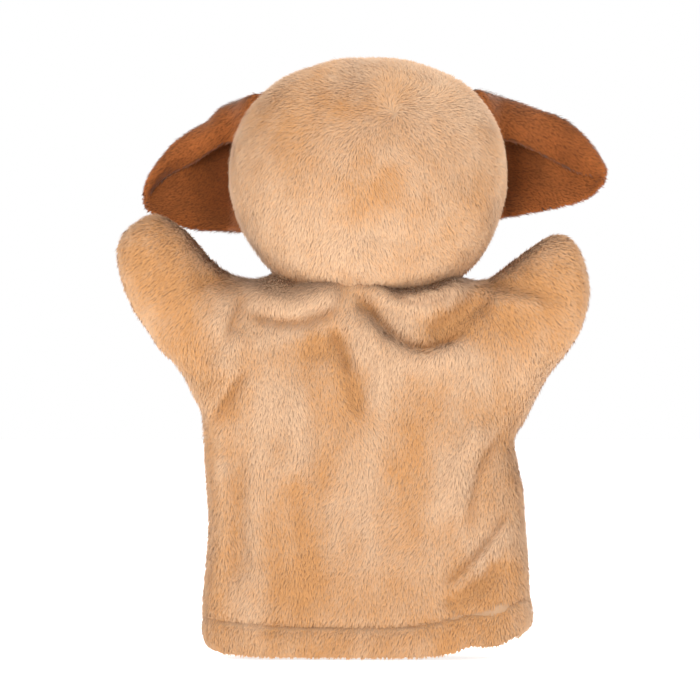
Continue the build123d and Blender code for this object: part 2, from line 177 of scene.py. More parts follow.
# Head seen from behind: radius from its middle, every 15 degrees from the puppet's left round over the top
HEAD_MIDDLE = Vector((-1.0, 0.0, 201.0))
HEAD_RADII = [
    58.0, 57.8, 56.6, 54.6, 51.8, 49.9, 49.0, 50.0, 51.8, 54.6, 56.8, 57.6,
    57.4, 57.2, 57.0, 56.6, 55.0, 51.6, 49.0, 51.0, 54.6, 56.2, 56.6, 57.2,
]
HEAD_DEPTH = 48.5
HEAD_SEAM = 3.4  # how far the seam down the back of the head is from the middle
HEAD_SWIRL = Vector((-12.0, 42.0, 226.0))  # where the pile's whorl is
POCKET_MOUTH_RADIUS = 12.5

# Ears: height of the lower edge, of the top and of the rolled edge's lip, at distances from the middle
EAR_SECTIONS = {
    "left": [
        (40, 183, 237.4, 220), (52, 179.2, 233.0, 217.0), (60, 179.2, 230.0, 216.0),
        (66, 179.4, 224.2, 212.5), (72, 180, 220.8, 208.5), (79, 181.6, 216.2, 205.5), (85, 184, 209.6,
        202.5), (90, 187, 202.2, 198),
        (92.6, 190.5, 195.6, 194),
    ],
    "right": [
        (40, 186, 237.8, 222), (52, 184.6, 235.4, 218.6), (62, 185.6, 232.6, 217), (72, 187.6, 229.2, 213),
        (82, 189.6, 225.8, 208), (89, 191.6, 220.8, 204.5), (95, 194.4, 214, 203), (98.6, 198.4, 208.4, 203),
        (100.4, 201, 205.4, 203.2),
    ],
}
# Depth across an ear, from its lower edge to the lip: by the head, where it is cupped, and by the tip
EAR_CUPPED = [-24.0, -30.0, -33.0, -31.5, -22.5, -14.5, -17.0]
EAR_THICKNESS = 2.6 * MM
EAR_FLAT = [-22.8, -26.0, -27.5, -26.0, -23.0, -20.0, -25.2]


def share_setting(label, about, value, least, most, **others):
    """A number that can be set in the sidebar."""
    return FloatProperty(name=label, description=about, default=value, min=least, max=most, **others)


def length_setting(*given):
    """A length that can be set in the sidebar."""
    return share_setting(*given, unit="LENGTH")


def colour_setting(label, about, value):
    """A colour that can be set in the sidebar."""
    return FloatVectorProperty(name=label, description=about, default=value, subtype="COLOR", size=3,
                               min=0, max=1)


class PUPPET_Cloth(bpy.types.PropertyGroup):
    spacing: length_setting("Mesh spacing", "Distance between the cloth's points", 0.0020, 0.001, 0.01)
    thickness: length_setting("Cloth thickness", "Backing and ground of the plush", 0.0012, 0.0004, 0.004)
    fullness: share_setting("Fullness", "How far the body stands out for a given width", 1.3, 0.5, 2.0)
    flatness: length_setting("Flat reach", "Distance from an edge at which the body is flat", 0.020, 0.005,
                             0.05)
    stitch_length: length_setting("Stitch", "Length of one machine stitch", 0.0024, 0.001, 0.006)
    thread: length_setting("Thread", "Diameter of the sewing thread", 0.00055, 0.0002, 0.002)


class PUPPET_Pile(bpy.types.PropertyGroup):
    length: length_setting("Pile length", "Length of a tuft", 0.0026, 0.001, 0.01)
    width: length_setting("Tuft width", "Width of a tuft at its root", 0.00052, 0.0002, 0.002)
    density: share_setting("Density", "Tufts for each square millimetre", 2.9, 0.1, 6.0)
    lift: share_setting("Lift", "How steeply the tufts stand", 0.34, 0.0, 2.0)
    spread: share_setting("Spread", "How much neighbouring tufts differ", 0.3, 0.0, 1.5)
    seed: IntProperty(name="Seed", description="Start of the random placing", default=11, min=0)


class PUPPET_Colours(bpy.types.PropertyGroup):
    # The pile's tone runs from pale to warm; besides the nap, the tone carries painted highlight on ridges
    # and painted shade in valleys and hollows
    pale: colour_setting("Pale tan", "Plush brushed with the nap", (0.64, 0.415, 0.255))
    warm: colour_setting("Warm tan", "Plush brushed against the nap", (0.555, 0.275, 0.105))
    cream: colour_setting("Cream", "Plush of the muzzle", (0.88, 0.78, 0.62))
    brown: colour_setting("Chestnut", "Plush of the ears", (0.33, 0.095, 0.020))
    thread: colour_setting("Thread", "Sewing thread of the body", (0.58, 0.33, 0.16))


class PUPPET_Stage(bpy.types.PropertyGroup):
    distance: length_setting("Camera distance", "From the puppet's middle", 2.5, 0.5, 10.0)
    across: length_setting("Field", "Width that the camera takes in", 0.294, 0.1, 1.0)


# ---------------------------------------------------------------- small helpers


def shoulder(side):
    """The shoulder's centre, and the direction in which the cloth passes from body to arm."""
    centre = Vector(JOINTS[f"arm_{side}_lower"]["pos_m"])
    slope = math.radians(20)
    return centre, Vector((SIDES[side] * math.cos(slope), 0, math.sin(slope)))


def arm_direction(side):
    """Unit vector along the arm, from the axis about which it swings forward."""
    axis = JOINTS[f"arm_{side}_forward"]["axis"]
    return Vector((-axis[2], 0, axis[0])).normalized()


BODY_END, SHOULDER_END, ARM_END = -6 * MM, 16 * MM, 34 * MM  # where cloth passes from body to body


def curve_between(a, b, c, d, t):
    """A smooth curve's place between b and c, at a share t of the way."""
    return 0.5 * (2 * b + (c - a) * t + (2 * a - 5 * b + 4 * c - d) * t**2 + (3 * b - a - 3 * c + d) * t**3)


def reach_out(points, centre, heading, unit=MM):
    """How far points of the plane lie from a centre along a heading, in the points' unit."""
    return (points - np.array((centre.x, centre.z)) / unit) @ np.array((heading.x, heading.z))


def smooth_line(points, step, closed=False):
    """Points every step along a smooth curve through the given points."""
    pts = [np.array(p, float) for p in points]
    count = len(pts)
    dense = []
    for i in range(count if closed else count - 1):
        if closed:
            a, b, c, d = (pts[(i + k) % count] for k in (-1, 0, 1, 2))
        else:
            a, b, c, d = (pts[min(max(i + k, 0), count - 1)] for k in (-1, 0, 1, 2))
        for t in np.linspace(0, 1, 16, endpoint=False):
            dense.append(curve_between(a, b, c, d, t))
    dense.append(pts[0] if closed else pts[-1])
    dense = np.array(dense)
    reach = np.concatenate([[0], np.cumsum(np.linalg.norm(np.diff(dense, axis=0), axis=1))])
    pieces = max(2, round(reach[-1] / step))
    at = np.linspace(0, reach[-1], pieces + 1)
    line = np.stack([np.interp(at, reach, dense[:, k]) for k in range(dense.shape[1])], axis=1)
    return line[:-1] if closed else line


def to_line(points, line):
    """Distance from each point to a line, and how far along it the nearest place is, from 0 to 1."""
    line = np.array(line, float)
    lengths = np.linalg.norm(np.diff(line, axis=0), axis=1)
    starts = np.concatenate([[0], np.cumsum(lengths)])
    best = np.full(len(points), 1e9)
    where = np.zeros(len(points))
    for i, (a, b) in enumerate(zip(line[:-1], line[1:])):
        t = np.clip(((points - a) @ (b - a)) / max(lengths[i] ** 2, 1e-9), 0, 1)
        far = np.linalg.norm(points - (a + t[:, None] * (b - a)), axis=1)
        nearer = far < best
        best[nearer] = far[nearer]
        where[nearer] = (starts[i] + t[nearer] * lengths[i]) / starts[-1]
    return best, where


def overlap_heights(points, overlaps):
    """Heights of folds that lie over the cloth below: a swell behind each edge, and a crease in front."""
    total = np.zeros(len(points))
    for height, reach, side, course in overlaps:
        line = smooth_line(course, 2.0)
        far, where = to_line(points, line)
        at = where * (len(line) - 1)
        i = np.minimum(at.astype(int), len(line) - 2)
        step = line[i + 1] - line[i]
        away = points - line[i]
        signed = far * np.sign(step[:, 1] * away[:, 0] - step[:, 0] * away[:, 1]) * side
        fade = eased(np.clip(np.minimum(where, 1 - where) / 0.25, 0, 1))
        swell = np.where(signed > 0, np.exp(-((signed / reach) ** 2)), np.exp(-((signed / 1.3) ** 2)))
        crease = 0.55 * np.exp(-(((signed + 2.8) / 2.6) ** 2))
        total += height * (swell - crease) * fade
    return total


def fold_heights(points, folds):
    """Sum of the folds' heights over points in the plane, in the folds' own millimetres."""
    total = overlap_heights(points, BACK_OVERLAPS) if folds is BACK_FOLDS else np.zeros(len(points))
    for height, width, course in folds:
        far, where = to_line(points, smooth_line(course, 2.0))
        fade = eased(np.clip(np.minimum(where, 1 - where) / 0.22, 0, 1))
        total += 1.35 * height * np.exp(-((far / width) ** 2)) * fade
    return total


def patch_tone(points, patches):
    """Sum of oval patches with ragged edges over points in the plane."""
    total = np.zeros(len(points))
    drift = [waves([(x, z * 0.6, shift) for x, z in points], 9.0, 17, 2) for shift in (0.0, 50.0)]
    points = points + np.stack(drift, axis=1) * (5, 8)
    for middle, halves, strength in patches:
        away = (points - np.array(middle)) / np.array(halves)
        total += 0.75 * strength * np.exp(-(away**2).sum(1))
    return total


def eased(share):
    """A share from 0 to 1, made level at both ends."""
    return share * share * (3 - 2 * share)


def waves(points, scale, seed, octaves=2):
    """Smooth noise from about -1 to 1 at points, given a feature size in the points' unit."""
    offset = Vector((seed * 13.7, seed * 5.1, seed * 9.3))
    return np.array([noise.fractal(Vector(p) / scale + offset, 0.8, 2.0, octaves) for p in points])


def new_mesh(name, verts, faces, smooth=True):
    """A mesh object at the origin, in metres."""
    mesh = bpy.data.meshes.new(name)
    mesh.from_pydata([tuple(v) for v in verts], [], [tuple(f) for f in faces])
    mesh.update()
    if smooth:
        mesh.shade_smooth()
    piece = bpy.data.objects.new(name, mesh)
    bpy.context.scene.collection.objects.link(piece)
    return piece


def drop_loose_points(piece):
    """Removes the points that no face uses."""
    bpy.ops.object.select_all(action="DESELECT")
    bpy.context.view_layer.objects.active = piece
    piece.select_set(True)
    bpy.ops.object.mode_set(mode="EDIT")
    bpy.ops.mesh.select_all(action="SELECT")
    bpy.ops.mesh.delete_loose()
    bpy.ops.object.mode_set(mode="OBJECT")


def tube_faces(around, rings):
    """Quads between rings of points, each ring closed on itself."""
    return [(j * around + i, j * around + (i + 1) % around, (j + 1) * around + (i + 1) % around,
             (j + 1) * around + i) for j in range(rings - 1) for i in range(around)]


def grid_faces(columns, rows):
    """Quads between rows of points."""
    return [(a, a + 1, a + columns + 1, a + columns) for j in range(rows - 1)
            for a in range(j * columns, (j + 1) * columns - 1)]


def laid_flat(directions, normals, least=1e-6):
    """Directions turned into the surface that has these normals, at unit length."""
    flat = directions - normals * (directions * normals).sum(1)[:, None]
    return flat / (np.linalg.norm(flat, axis=1)[:, None] + least)


def store(piece, name, values):
    """Writes one number or one vector for each point of a piece as a named attribute."""
    values = np.asarray(values, np.float32)
    kind, key = ("FLOAT_VECTOR", "vector") if values.ndim == 2 else ("FLOAT", "value")
    attribute = piece.data.attributes.get(name) or piece.data.attributes.new(name, kind, "POINT")
    attribute.data.foreach_set(key, values.ravel())


def points_of(piece):
    co = np.zeros(len(piece.data.vertices) * 3, np.float32)
    piece.data.vertices.foreach_get("co", co)
    return co.reshape(-1, 3).astype(float)


def normals_of(piece):
    no = np.zeros(len(piece.data.vertices) * 3, np.float32)
    piece.data.vertex_normals.foreach_get("vector", no)
    return no.reshape(-1, 3).astype(float)


def dressed(piece, material):
    piece.data.materials.clear()
    piece.data.materials.append(material)
    return piece


def thickened(piece, thickness, offset=-1.0, levels=0):
    """Gives a sheet its thickness, and smooths it by so many levels first."""
    if levels:
        smooth = piece.modifiers.new("Smooth", "SUBSURF")
        smooth.levels = smooth.render_levels = levels
    wall = piece.modifiers.new("Thickness", "SOLIDIFY")
    wall.thickness = thickness
    wall.offset = offset
    return piece


def made_plain(piece, name):
    """The evaluated piece as a plain mesh under a name, the original removed."""
    graph = bpy.context.evaluated_depsgraph_get()
    mesh = bpy.data.meshes.new_from_object(piece.evaluated_get(graph), depsgraph=graph)
    mesh.name = name
    bpy.data.objects.remove(piece)
    plain = bpy.data.objects.new(name, mesh)
    bpy.context.scene.collection.objects.link(plain)
    return plain


# ---------------------------------------------------------------- materials


def link(tree, a, b):
    tree.links.new(a, b)


def fill_inputs(tree, node, given):
    """Links or sets a node's inputs, by name or place."""
    for key, value in given.items():
        if isinstance(value, bpy.types.NodeSocket):
            link(tree, value, node.inputs[key])
        else:
            node.inputs[key].default_value = value
    return node


def add_node(tree, kind, given=None, **settings):
    """A node with its settings and its inputs."""
    node = tree.nodes.new(kind)
    for name, value in settings.items():
        setattr(node, name, value)
    return fill_inputs(tree, node, given or {})


def about_half(tree, value, share):
    """A value's distance from one half, times a share."""
    return maths(tree, "MULTIPLY", maths(tree, "SUBTRACT", value, 0.5), share)


def greyed(tree, level):
    """A grey of a level."""
    return add_node(tree, "ShaderNodeCombineColor", {0: level, 1: level, 2: level}).outputs[0]


def maths(tree, operation, a, b=None, clamp=False):
    """A Math node on sockets or numbers; returns its output."""
    node = tree.nodes.new("ShaderNodeMath")
    node.operation = operation
    node.use_clamp = clamp
    for socket, value in zip(node.inputs, (a, b)):
        if value is None:
            continue
        if isinstance(value, (int, float)):
            socket.default_value = value
        else:
            link(tree, value, socket)
    return node.outputs[0]


def mixed(tree, factor, a, b, blend_type="MIX"):
    """A colour Mix node; returns its output."""
    node = tree.nodes.new("ShaderNodeMix")
    node.data_type = "RGBA"
    node.blend_type = blend_type
    for index, value in ((0, factor), (6, a), (7, b)):
        socket = node.inputs[index]
        if isinstance(value, (int, float)):
            socket.default_value = value
        elif isinstance(value, (tuple, list)):
            socket.default_value = (*value[:3], 1)
        else:
            link(tree, value, socket)
    return node.outputs[2]


def shared_group(name, inputs, outputs):
    """A shader node group with named sockets, and its input and output nodes."""
    group = bpy.data.node_groups.new(name, "ShaderNodeTree")
    for label, kind, value in inputs:
        socket = group.interface.new_socket(label, in_out="INPUT", socket_type=kind)
        if value is not None:
            socket.default_value = value
    for label, kind in outputs:
        group.interface.new_socket(label, in_out="OUTPUT", socket_type=kind)
    return group, group.nodes.new("NodeGroupInput"), group.nodes.new("NodeGroupOutput")


def pile_group():
    """Colour of plush pile: brushed patches carrying painted highlight and painted shade, tuft by tuft
    differences, darker roots painted as shade, and painted shade in creases.
    """
    found = bpy.data.node_groups.get("Plush pile")
    if found:
        return found
    group, given, out = shared_group(
        "Plush pile",
        [("Pale", "NodeSocketColor", (0.8, 0.6, 0.4, 1)), ("Warm", "NodeSocketColor", (0.8, 0.5, 0.2, 1)),
         ("Root shade", "NodeSocketFloat", 0.62), ("Variation", "NodeSocketFloat", 0.22)],
        [("Color", "NodeSocketColor"), ("Height", "NodeSocketFloat")],
    )
    place = add_node(group, "ShaderNodeTexCoord").outputs["Object"]
    tone, tuft, along, crease = (
        add_node(group, "ShaderNodeAttribute", attribute_name=name).outputs["Fac"]
        for name in ("tone", "tuft", "along", "crease"))
    fine, broad = (
        add_node(group, "ShaderNodeTexNoise",
                 {"Scale": scale, "Detail": detail, "Vector": place}).outputs["Fac"]
        for scale, detail in ((420, 3), (85, 2)))
    root = given.outputs["Root shade"]
    # The tone attribute with broad noise: it holds the nap's patches together with painted highlight and
    # painted shade
    brushed = maths(group, "ADD", tone, about_half(group, broad, 0.7))
    share = maths(group, "ADD", brushed, about_half(group, tuft, 0.45), clamp=True)
    base = mixed(group, share, given.outputs["Pale"], given.outputs["Warm"])
    bright = maths(group, "ADD", 1.0, about_half(group, tuft, given.outputs["Variation"]))
    bright = maths(group, "ADD", bright, about_half(group, fine, 0.16))
    # Painted shade: each tuft darkens towards its root, and cloth without the along attribute takes the root
    # shade in full
    reach = maths(group, "MULTIPLY", along, maths(group, "SUBTRACT", 1.0, root))
    level = maths(group, "MULTIPLY", bright, maths(group, "ADD", reach, root))
    lit = mixed(group, 1.0, base, greyed(group, level), "MULTIPLY")
    # Painted shade: the colour is darkened where the crease attribute is set, in grooves, hollows and the
    # ears' pockets
    crease_shaded = mixed(group, 1.0, lit, (0.55, 0.42, 0.34), "MULTIPLY")
    colour = mixed(group, maths(group, "MULTIPLY", crease, 0.85), lit, crease_shaded)
    fill_inputs(group, out, {"Color": colour, "Height": fine})
    return group


def weave_group():
    """A plain weave on object coordinates: a shade and a height."""
    found = bpy.data.node_groups.get("Plain weave")
    if found:
        return found
    group, given, out = shared_group(
        "Plain weave", [("Threads", "NodeSocketFloat", 1500.0)],
        [("Shade", "NodeSocketFloat"), ("Height", "NodeSocketFloat")],
    )
    place = group.nodes.new("ShaderNodeTexCoord")
    split = group.nodes.new("ShaderNodeSeparateXYZ")
    link(group, place.outputs["Object"], split.inputs[0])
    across = maths(group, "SINE", maths(group, "MULTIPLY", split.outputs["X"], given.outputs["Threads"]))
    up = maths(group, "SINE", maths(group, "MULTIPLY", split.outputs["Z"], given.outputs["Threads"]))
    height = maths(group, "MULTIPLY", maths(group, "ADD", across, up), 0.5)
    link(group, height, out.inputs["Height"])
    link(group, maths(group, "ADD", maths(group, "MULTIPLY", height, 0.12), 0.9), out.inputs["Shade"])
    return group


def new_material(name):
    material = bpy.data.materials.new(name)
    material.use_nodes = True
    return material, material.node_tree, material.node_tree.nodes["Principled BSDF"]


def placed_group(tree, group, **values):
    node = tree.nodes.new("ShaderNodeGroup")
    node.node_tree = group
    for label, value in values.items():
        node.inputs[label.replace("_", " ")].default_value = value
    return node


def bumped(tree, shader, height, strength, distance):
    bump = add_node(tree, "ShaderNodeBump", {"Strength": strength, "Distance": distance, "Height": height})
    link(tree, bump.outputs[0], shader.inputs["Normal"])


def plush(name, pale, warm, root_shade=0.72, sheen=0.3):
    """Short plush: the same cloth for its ground and its pile, with darker roots painted as shade."""
    material, tree, shader = new_material(name)
    node = placed_group(tree, pile_group(), Pale=(*pale, 1), Warm=(*warm, 1), Root_shade=root_shade)
    fill_inputs(tree, shader, {
        "Base Color": node.outputs["Color"], "Roughness": 0.82, "Specular IOR Level": 0.2,
        "Sheen Weight": sheen, "Sheen Roughness": 0.45, "Sheen Tint": (1.0, 0.86, 0.74, 1),
    })
    bumped(tree, shader, node.outputs["Height"], 0.35, 0.0004)
    return material


def woven(name, colour, threads=1500.0, roughness=0.8):
    """Plain woven cloth, tape or lining."""
    material, tree, shader = new_material(name)
    node = placed_group(tree, weave_group(), Threads=threads)
    shaded = mixed(tree, 1.0, colour, greyed(tree, node.outputs["Shade"]), "MULTIPLY")
    fill_inputs(tree, shader, {"Base Color": shaded, "Roughness": roughness})
    bumped(tree, shader, node.outputs["Height"], 0.4, 0.0002)
    return material


def twisted(name, colour, roughness=0.55):
    """Sewing thread with a fine twist."""
    material, tree, shader = new_material(name)
    place = add_node(tree, "ShaderNodeTexCoord").outputs["Object"]
    wave = add_node(tree, "ShaderNodeTexWave", {"Scale": 900, "Distortion": 1.0, "Vector": place},
                    bands_direction="DIAGONAL").outputs["Fac"]
    shaded = mixed(tree, wave, tuple(0.72 * c for c in colour), tuple(colour))
    fill_inputs(tree, shader, {"Base Color": shaded, "Roughness": roughness, "Sheen Weight": 0.2})
    bumped(tree, shader, wave, 0.4, 0.0002)
    return material


def moulded(name, colour, roughness, coat=0.0):
    """Moulded plastic with a trace of unevenness in its polish."""
    material, tree, shader = new_material(name)
    place = add_node(tree, "ShaderNodeTexCoord").outputs["Object"]
    fleck = add_node(tree, "ShaderNodeTexNoise", {"Scale": 260, "Vector": place}).outputs["Fac"]
    light = tuple(min(1.0, 1.5 * c + 0.004) for c in colour)
    rough = maths(tree, "ADD", maths(tree, "MULTIPLY", fleck, 0.1), roughness)
    fill_inputs(tree, shader, {
        "Base Color": mixed(tree, fleck, tuple(colour), light), "Roughness": rough,
        "Coat Weight": coat, "Coat Roughness": 0.05,
    })
    return material


def material_named(name):
    """One of the puppet's finishes, made the first time it is asked for."""
    found = bpy.data.materials.get(name)
    if found:
        return found
    colours = bpy.context.scene.puppet_colours
    pale, warm = tuple(colours.pale), tuple(colours.warm)
    cream, brown = tuple(colours.cream), tuple(colours.brown)
    makers = {
        "Tan plush": lambda: plush(name, pale, warm),
        "Tan ground": lambda: plush(name, tuple(0.9 * c for c in pale), tuple(0.85 * c for c in warm),
                                    0.8, 0.1),
        "Cream plush": lambda: plush(name, cream, tuple(c * k for c, k in zip(cream, (0.95, 0.86, 0.72)))),
        "Chestnut plush": lambda: plush(name, tuple(1.3 * c for c in brown), tuple(0.75 * c for c in brown),
                                        0.4, 0.3),
        "Body thread": lambda: twisted(name, tuple(colours.thread)),
        "Mouth thread": lambda: twisted(name, (0.03, 0.014, 0.009)),
        "Lining": lambda: woven(name, (0.72, 0.62, 0.48)),
        "Blank tape": lambda: woven(name, (0.86, 0.86, 0.84), 2600.0, 0.45),
        "Eye plastic": lambda: moulded(name, (0.010, 0.005, 0.003), 0.12, 0.25),
        "Washer plastic": lambda: moulded(name, (0.7, 0.7, 0.68), 0.5),
    }
    return makers[name]()


# ---------------------------------------------------------------- geometry nodes


def in_use(sockets, name=None):
    """The enabled socket, of those with a name if one is given."""
    return next(s for s in sockets if s.enabled and name in (None, s.name))


def new_tree(name, inputs):
    """A geometry tree with named inputs, and its input and output nodes."""
    tree = bpy.data.node_groups.new(name, "GeometryNodeTree")
    for label, kind, *value in (("Geometry", "Geometry"), *inputs, ("Material", "Material")):
        node_socket(tree, label, f"NodeSocket{kind}", *value)
    tree.interface.new_socket("Geometry", in_out="OUTPUT", socket_type="NodeSocketGeometry")
    return tree, tree.nodes.new("NodeGroupInput").outputs, tree.nodes.new("NodeGroupOutput")


def made_real(tree, instances, material, out):
    """Ends a tree: instances made real, and given their material."""
    real = add_node(tree, "GeometryNodeRealizeInstances", {0: instances})
    finish = add_node(tree, "GeometryNodeSetMaterial", {"Geometry": real.outputs[0], "Material": material})
    link(tree, finish.outputs[0], out.inputs[0])


def node_socket(tree, label, kind, value=None):
    socket = tree.interface.new_socket(label, in_out="INPUT", socket_type=kind)
    if value is not None:
        socket.default_value = value
    return socket


def run_tree(piece, tree, values, name):
    """Runs a geometry tree on a piece with values by socket name, and returns the plain result."""
    modifier = piece.modifiers.new("Nodes", "NODES")
    modifier.node_group = tree
    for item in tree.interface.items_tree:
        if item.item_type == "SOCKET" and item.in_out == "INPUT" and item.name in values:
            modifier[item.identifier] = values[item.name]
    return made_plain(piece, name)


def pile_tree():
    """Tufts scattered over a surface, laid along its comb attribute."""
    found = bpy.data.node_groups.get("Pile of tufts")
    if found:
        return found
    tree, given, out = new_tree("Pile of tufts", [
        ("Tuft", "Object"), ("Density", "Float", 1e6), ("Length", "Float", 0.0026),
        ("Width", "Float", 0.0006), ("Lift", "Float", 0.6), ("Spread", "Float", 0.4), ("Seed", "Int", 1),
    ])

    def named(name, kind):
        node = add_node(tree, "GeometryNodeInputNamedAttribute", {"Name": name}, data_type=kind)
        return node.outputs["Attribute"]

    def random(kind, low, high, seed_shift):
        node = add_node(tree, "FunctionNodeRandomValue", data_type=kind)
        in_use(node.inputs, "Min").default_value = low
        in_use(node.inputs, "Max").default_value = high
        link(tree, maths(tree, "ADD", given["Seed"], seed_shift), node.inputs["Seed"])
        return in_use(node.outputs)

    def vector(operation, first, **others):
        return add_node(tree, "ShaderNodeVectorMath", {0: first, **others}, operation=operation).outputs[0]

    def added(a, b):
        return add_node(tree, "ShaderNodeVectorMath", {0: a, 1: b}, operation="ADD").outputs[0]

    scatter = add_node(tree, "GeometryNodeDistributePointsOnFaces",
                       {"Mesh": given["Geometry"], "Density": given["Density"], "Seed": given["Seed"]})
    upright = vector("SCALE", scatter.outputs["Normal"], Scale=given["Lift"])
    stray = vector("SCALE", random("FLOAT_VECTOR", (-1, -1, -1), (1, 1, 1), 3), Scale=given["Spread"])
    heading = vector("NORMALIZE", added(added(named("comb", "FLOAT_VECTOR"), upright), stray))
    point = add_node(tree, "FunctionNodeAlignRotationToVector", {"Vector": heading}, axis="Z")
    face = add_node(tree, "FunctionNodeAlignRotationToVector",
                    {"Rotation": point.outputs[0], "Vector": scatter.outputs["Normal"]},
                    axis="Y", pivot_axis="Z")

    size = maths(tree, "MULTIPLY", random("FLOAT", 0.7, 1.25, 5), named("nap", "FLOAT"))
    long = maths(tree, "MULTIPLY", size, given["Length"])
    scale = add_node(tree, "ShaderNodeCombineXYZ", {"X": given["Width"], "Y": long, "Z": long})
    shape = add_node(tree, "GeometryNodeObjectInfo", {"Object": given["Tuft"]})
    keep = add_node(tree, "GeometryNodeStoreNamedAttribute",
                    {"Geometry": scatter.outputs["Points"], "Name": "ground"},
                    data_type="FLOAT_VECTOR", domain="POINT")
    link(tree, scatter.outputs["Normal"], in_use(keep.inputs, "Value"))
    plant = add_node(tree, "GeometryNodeInstanceOnPoints",
                     {"Points": keep.outputs[0], "Instance": shape.outputs["Geometry"],
                      "Rotation": face.outputs[0], "Scale": scale.outputs[0]})
    mark = add_node(tree, "GeometryNodeStoreNamedAttribute",
                    {"Geometry": plant.outputs[0], "Name": "tuft"}, data_type="FLOAT", domain="INSTANCE")
    link(tree, random("FLOAT", 0.0, 1.0, 7), in_use(mark.inputs, "Value"))
    made_real(tree, mark.outputs[0], given["Material"], out)
    return tree


def shade_as_ground(pile, share=0.7):
    """Turns the tufts' shading normals towards the cloth they stand on, so that the nap reads as soft."""
    mesh = pile.data
    count = len(mesh.vertices)
    ground = np.zeros(count * 3, np.float32)
    mesh.attributes["ground"].data.foreach_get("vector", ground)
    mixed_normals = share * ground.reshape(-1, 3) + (1 - share) * normals_of(pile)
    mixed_normals /= np.linalg.norm(mixed_normals, axis=1)[:, None] + 1e-9
    mesh.normals_split_custom_set_from_vertices(mixed_normals)
    mesh.attributes.remove(mesh.attributes["ground"])


def tuft_shape():
    """One tuft: a narrow blade that arches over, unit length along Z, facing Y."""
    found = bpy.data.objects.get("tuft_shape")
    if found:
        return found
    verts = [(-0.5, -0.02, 0), (0.5, -0.02, 0), (0.4, 0.06, 0.5), (-0.4, 0.06, 0.5), (0, 0.03, 1)]
    shape = new_mesh("tuft_shape", verts, [(3, 2, 1, 0), (4, 2, 3)])
    store(shape, "along", [0, 0, 0.6, 0.6, 1])
    shape.hide_render = True
    return shape


def grow_pile(surface, name, material, density=1.0, length=1.0, width=1.0, lift=1.0, spread=1.0, seed=0):
    """The pile of a surface that carries comb, nap and tone, as a piece of its own."""
    pile = bpy.context.scene.puppet_pile
    thin = 1.0
    values = {
        "Tuft": tuft_shape(), "Density": pile.density * density * thin / MM**2,
        "Length": pile.length * length, "Width": pile.width * width, "Lift": pile.lift * lift,
        "Spread": pile.spread * spread,
        "Seed": pile.seed + seed, "Material": material_named(material),
    }
    ground = surface.copy()
    ground.data = surface.data.copy()
    ground.modifiers.clear()
    bpy.context.scene.collection.objects.link(ground)
    grown = run_tree(ground, pile_tree(), values, name)
    grown.data.shade_smooth()
    shade_as_ground(grown)
    return grown


def stitch_tree():
    """Short rounded stitches along a curve."""
    found = bpy.data.node_groups.get("Row of stitches")
    if found:
        return found
    tree, given, out = new_tree("Row of stitches", [
        ("Pitch", "Float", 0.003), ("Thread", "Float", 0.0005), ("Fill", "Float", 0.8),
    ])
    spaced = add_node(tree, "GeometryNodeCurveToPoints",
                      {"Curve": given["Geometry"], "Length": given["Pitch"]}, mode="LENGTH")
    bead = add_node(tree, "GeometryNodeMeshUVSphere", {"Segments": 8, "Rings": 6, "Radius": 0.5})
    span = maths(tree, "MULTIPLY", given["Pitch"], given["Fill"])
    scale = add_node(tree, "ShaderNodeCombineXYZ", {"X": given["Thread"], "Y": given["Thread"], "Z": span})
    plant = add_node(tree, "GeometryNodeInstanceOnPoints",
                     {"Points": spaced.outputs["Points"], "Instance": bead.outputs["Mesh"],
                      "Rotation": spaced.outputs["Rotation"], "Scale": scale.outputs[0]})
    made_real(tree, plant.outputs[0], given["Material"], out)
    return tree


def stitches(name, path, material, fill=0.8, thread=1.0, closed=False, pitch=None):
    """A row of stitches along points in metres."""
    cloth = bpy.context.scene.puppet_cloth
    curve = bpy.data.curves.new(name + "_path", "CURVE")
    curve.dimensions = "3D"
    spline = curve.splines.new("POLY")
    spline.points.add(len(path) - 1)
    for point, place in zip(spline.points, path):
        point.co = (*place, 1)
    spline.use_cyclic_u = closed
    row = bpy.data.objects.new(name + "_path", curve)
    bpy.context.scene.collection.objects.link(row)
    values = {"Pitch": pitch or cloth.stitch_length, "Thread": cloth.thread * thread, "Fill": fill,
              "Material": material_named(material)}
    sewn = run_tree(row, stitch_tree(), values, name)
    sewn.data.shade_smooth()
    return sewn


# ---------------------------------------------------------------- the glove's cloth

glove = {}  # what later operators need of the glove's cloth


def arm_lean(points):
    """How far back the arms lean at points in the plane, in millimetres."""
    lean = np.zeros(len(points))
    for side, sign in SIDES.items():
        centre, _ = shoulder(side)
        _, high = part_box(f"arm_{side}_back")
        low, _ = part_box(f"arm_{side}_front")
        tip = (high.y + low.y) / 2 / MM
        out = reach_out(points, centre, arm_direction(side))
        beyond = np.clip((sign * points[:, 0] - 48) / 20, 0, 1)
        lean += tip * 1.6 * np.clip(out / 60, 0, 1) * beyond
    return lean


SWELL = 3.0  # how strongly the stuffing swells the pattern


def inflated(points, faces, held, reach):
    """Fullness over a flat pattern: nothing on its held edge, and level once reach from it."""
    edges = np.concatenate([faces[:, [0, 1]], faces[:, [1, 2]], faces[:, [2, 0]]])
    edges = np.unique(np.sort(edges, axis=1), axis=0)
    a, b = edges.T
    count = len(points)
    far2 = ((points[a] - points[b]) ** 2).sum(1)
    near = 1 / far2
    weight = np.bincount(a, near, count) + np.bincount(b, near, count)
    leak = SWELL / reach**2
    full = np.zeros(count)
    for _ in range(1500):
        pull = np.bincount(a, near * full[b], count) + np.bincount(b, near * full[a], count)
        full = (pull + SWELL) / (weight + leak)
        full[held] = 0
    return np.sqrt(full)


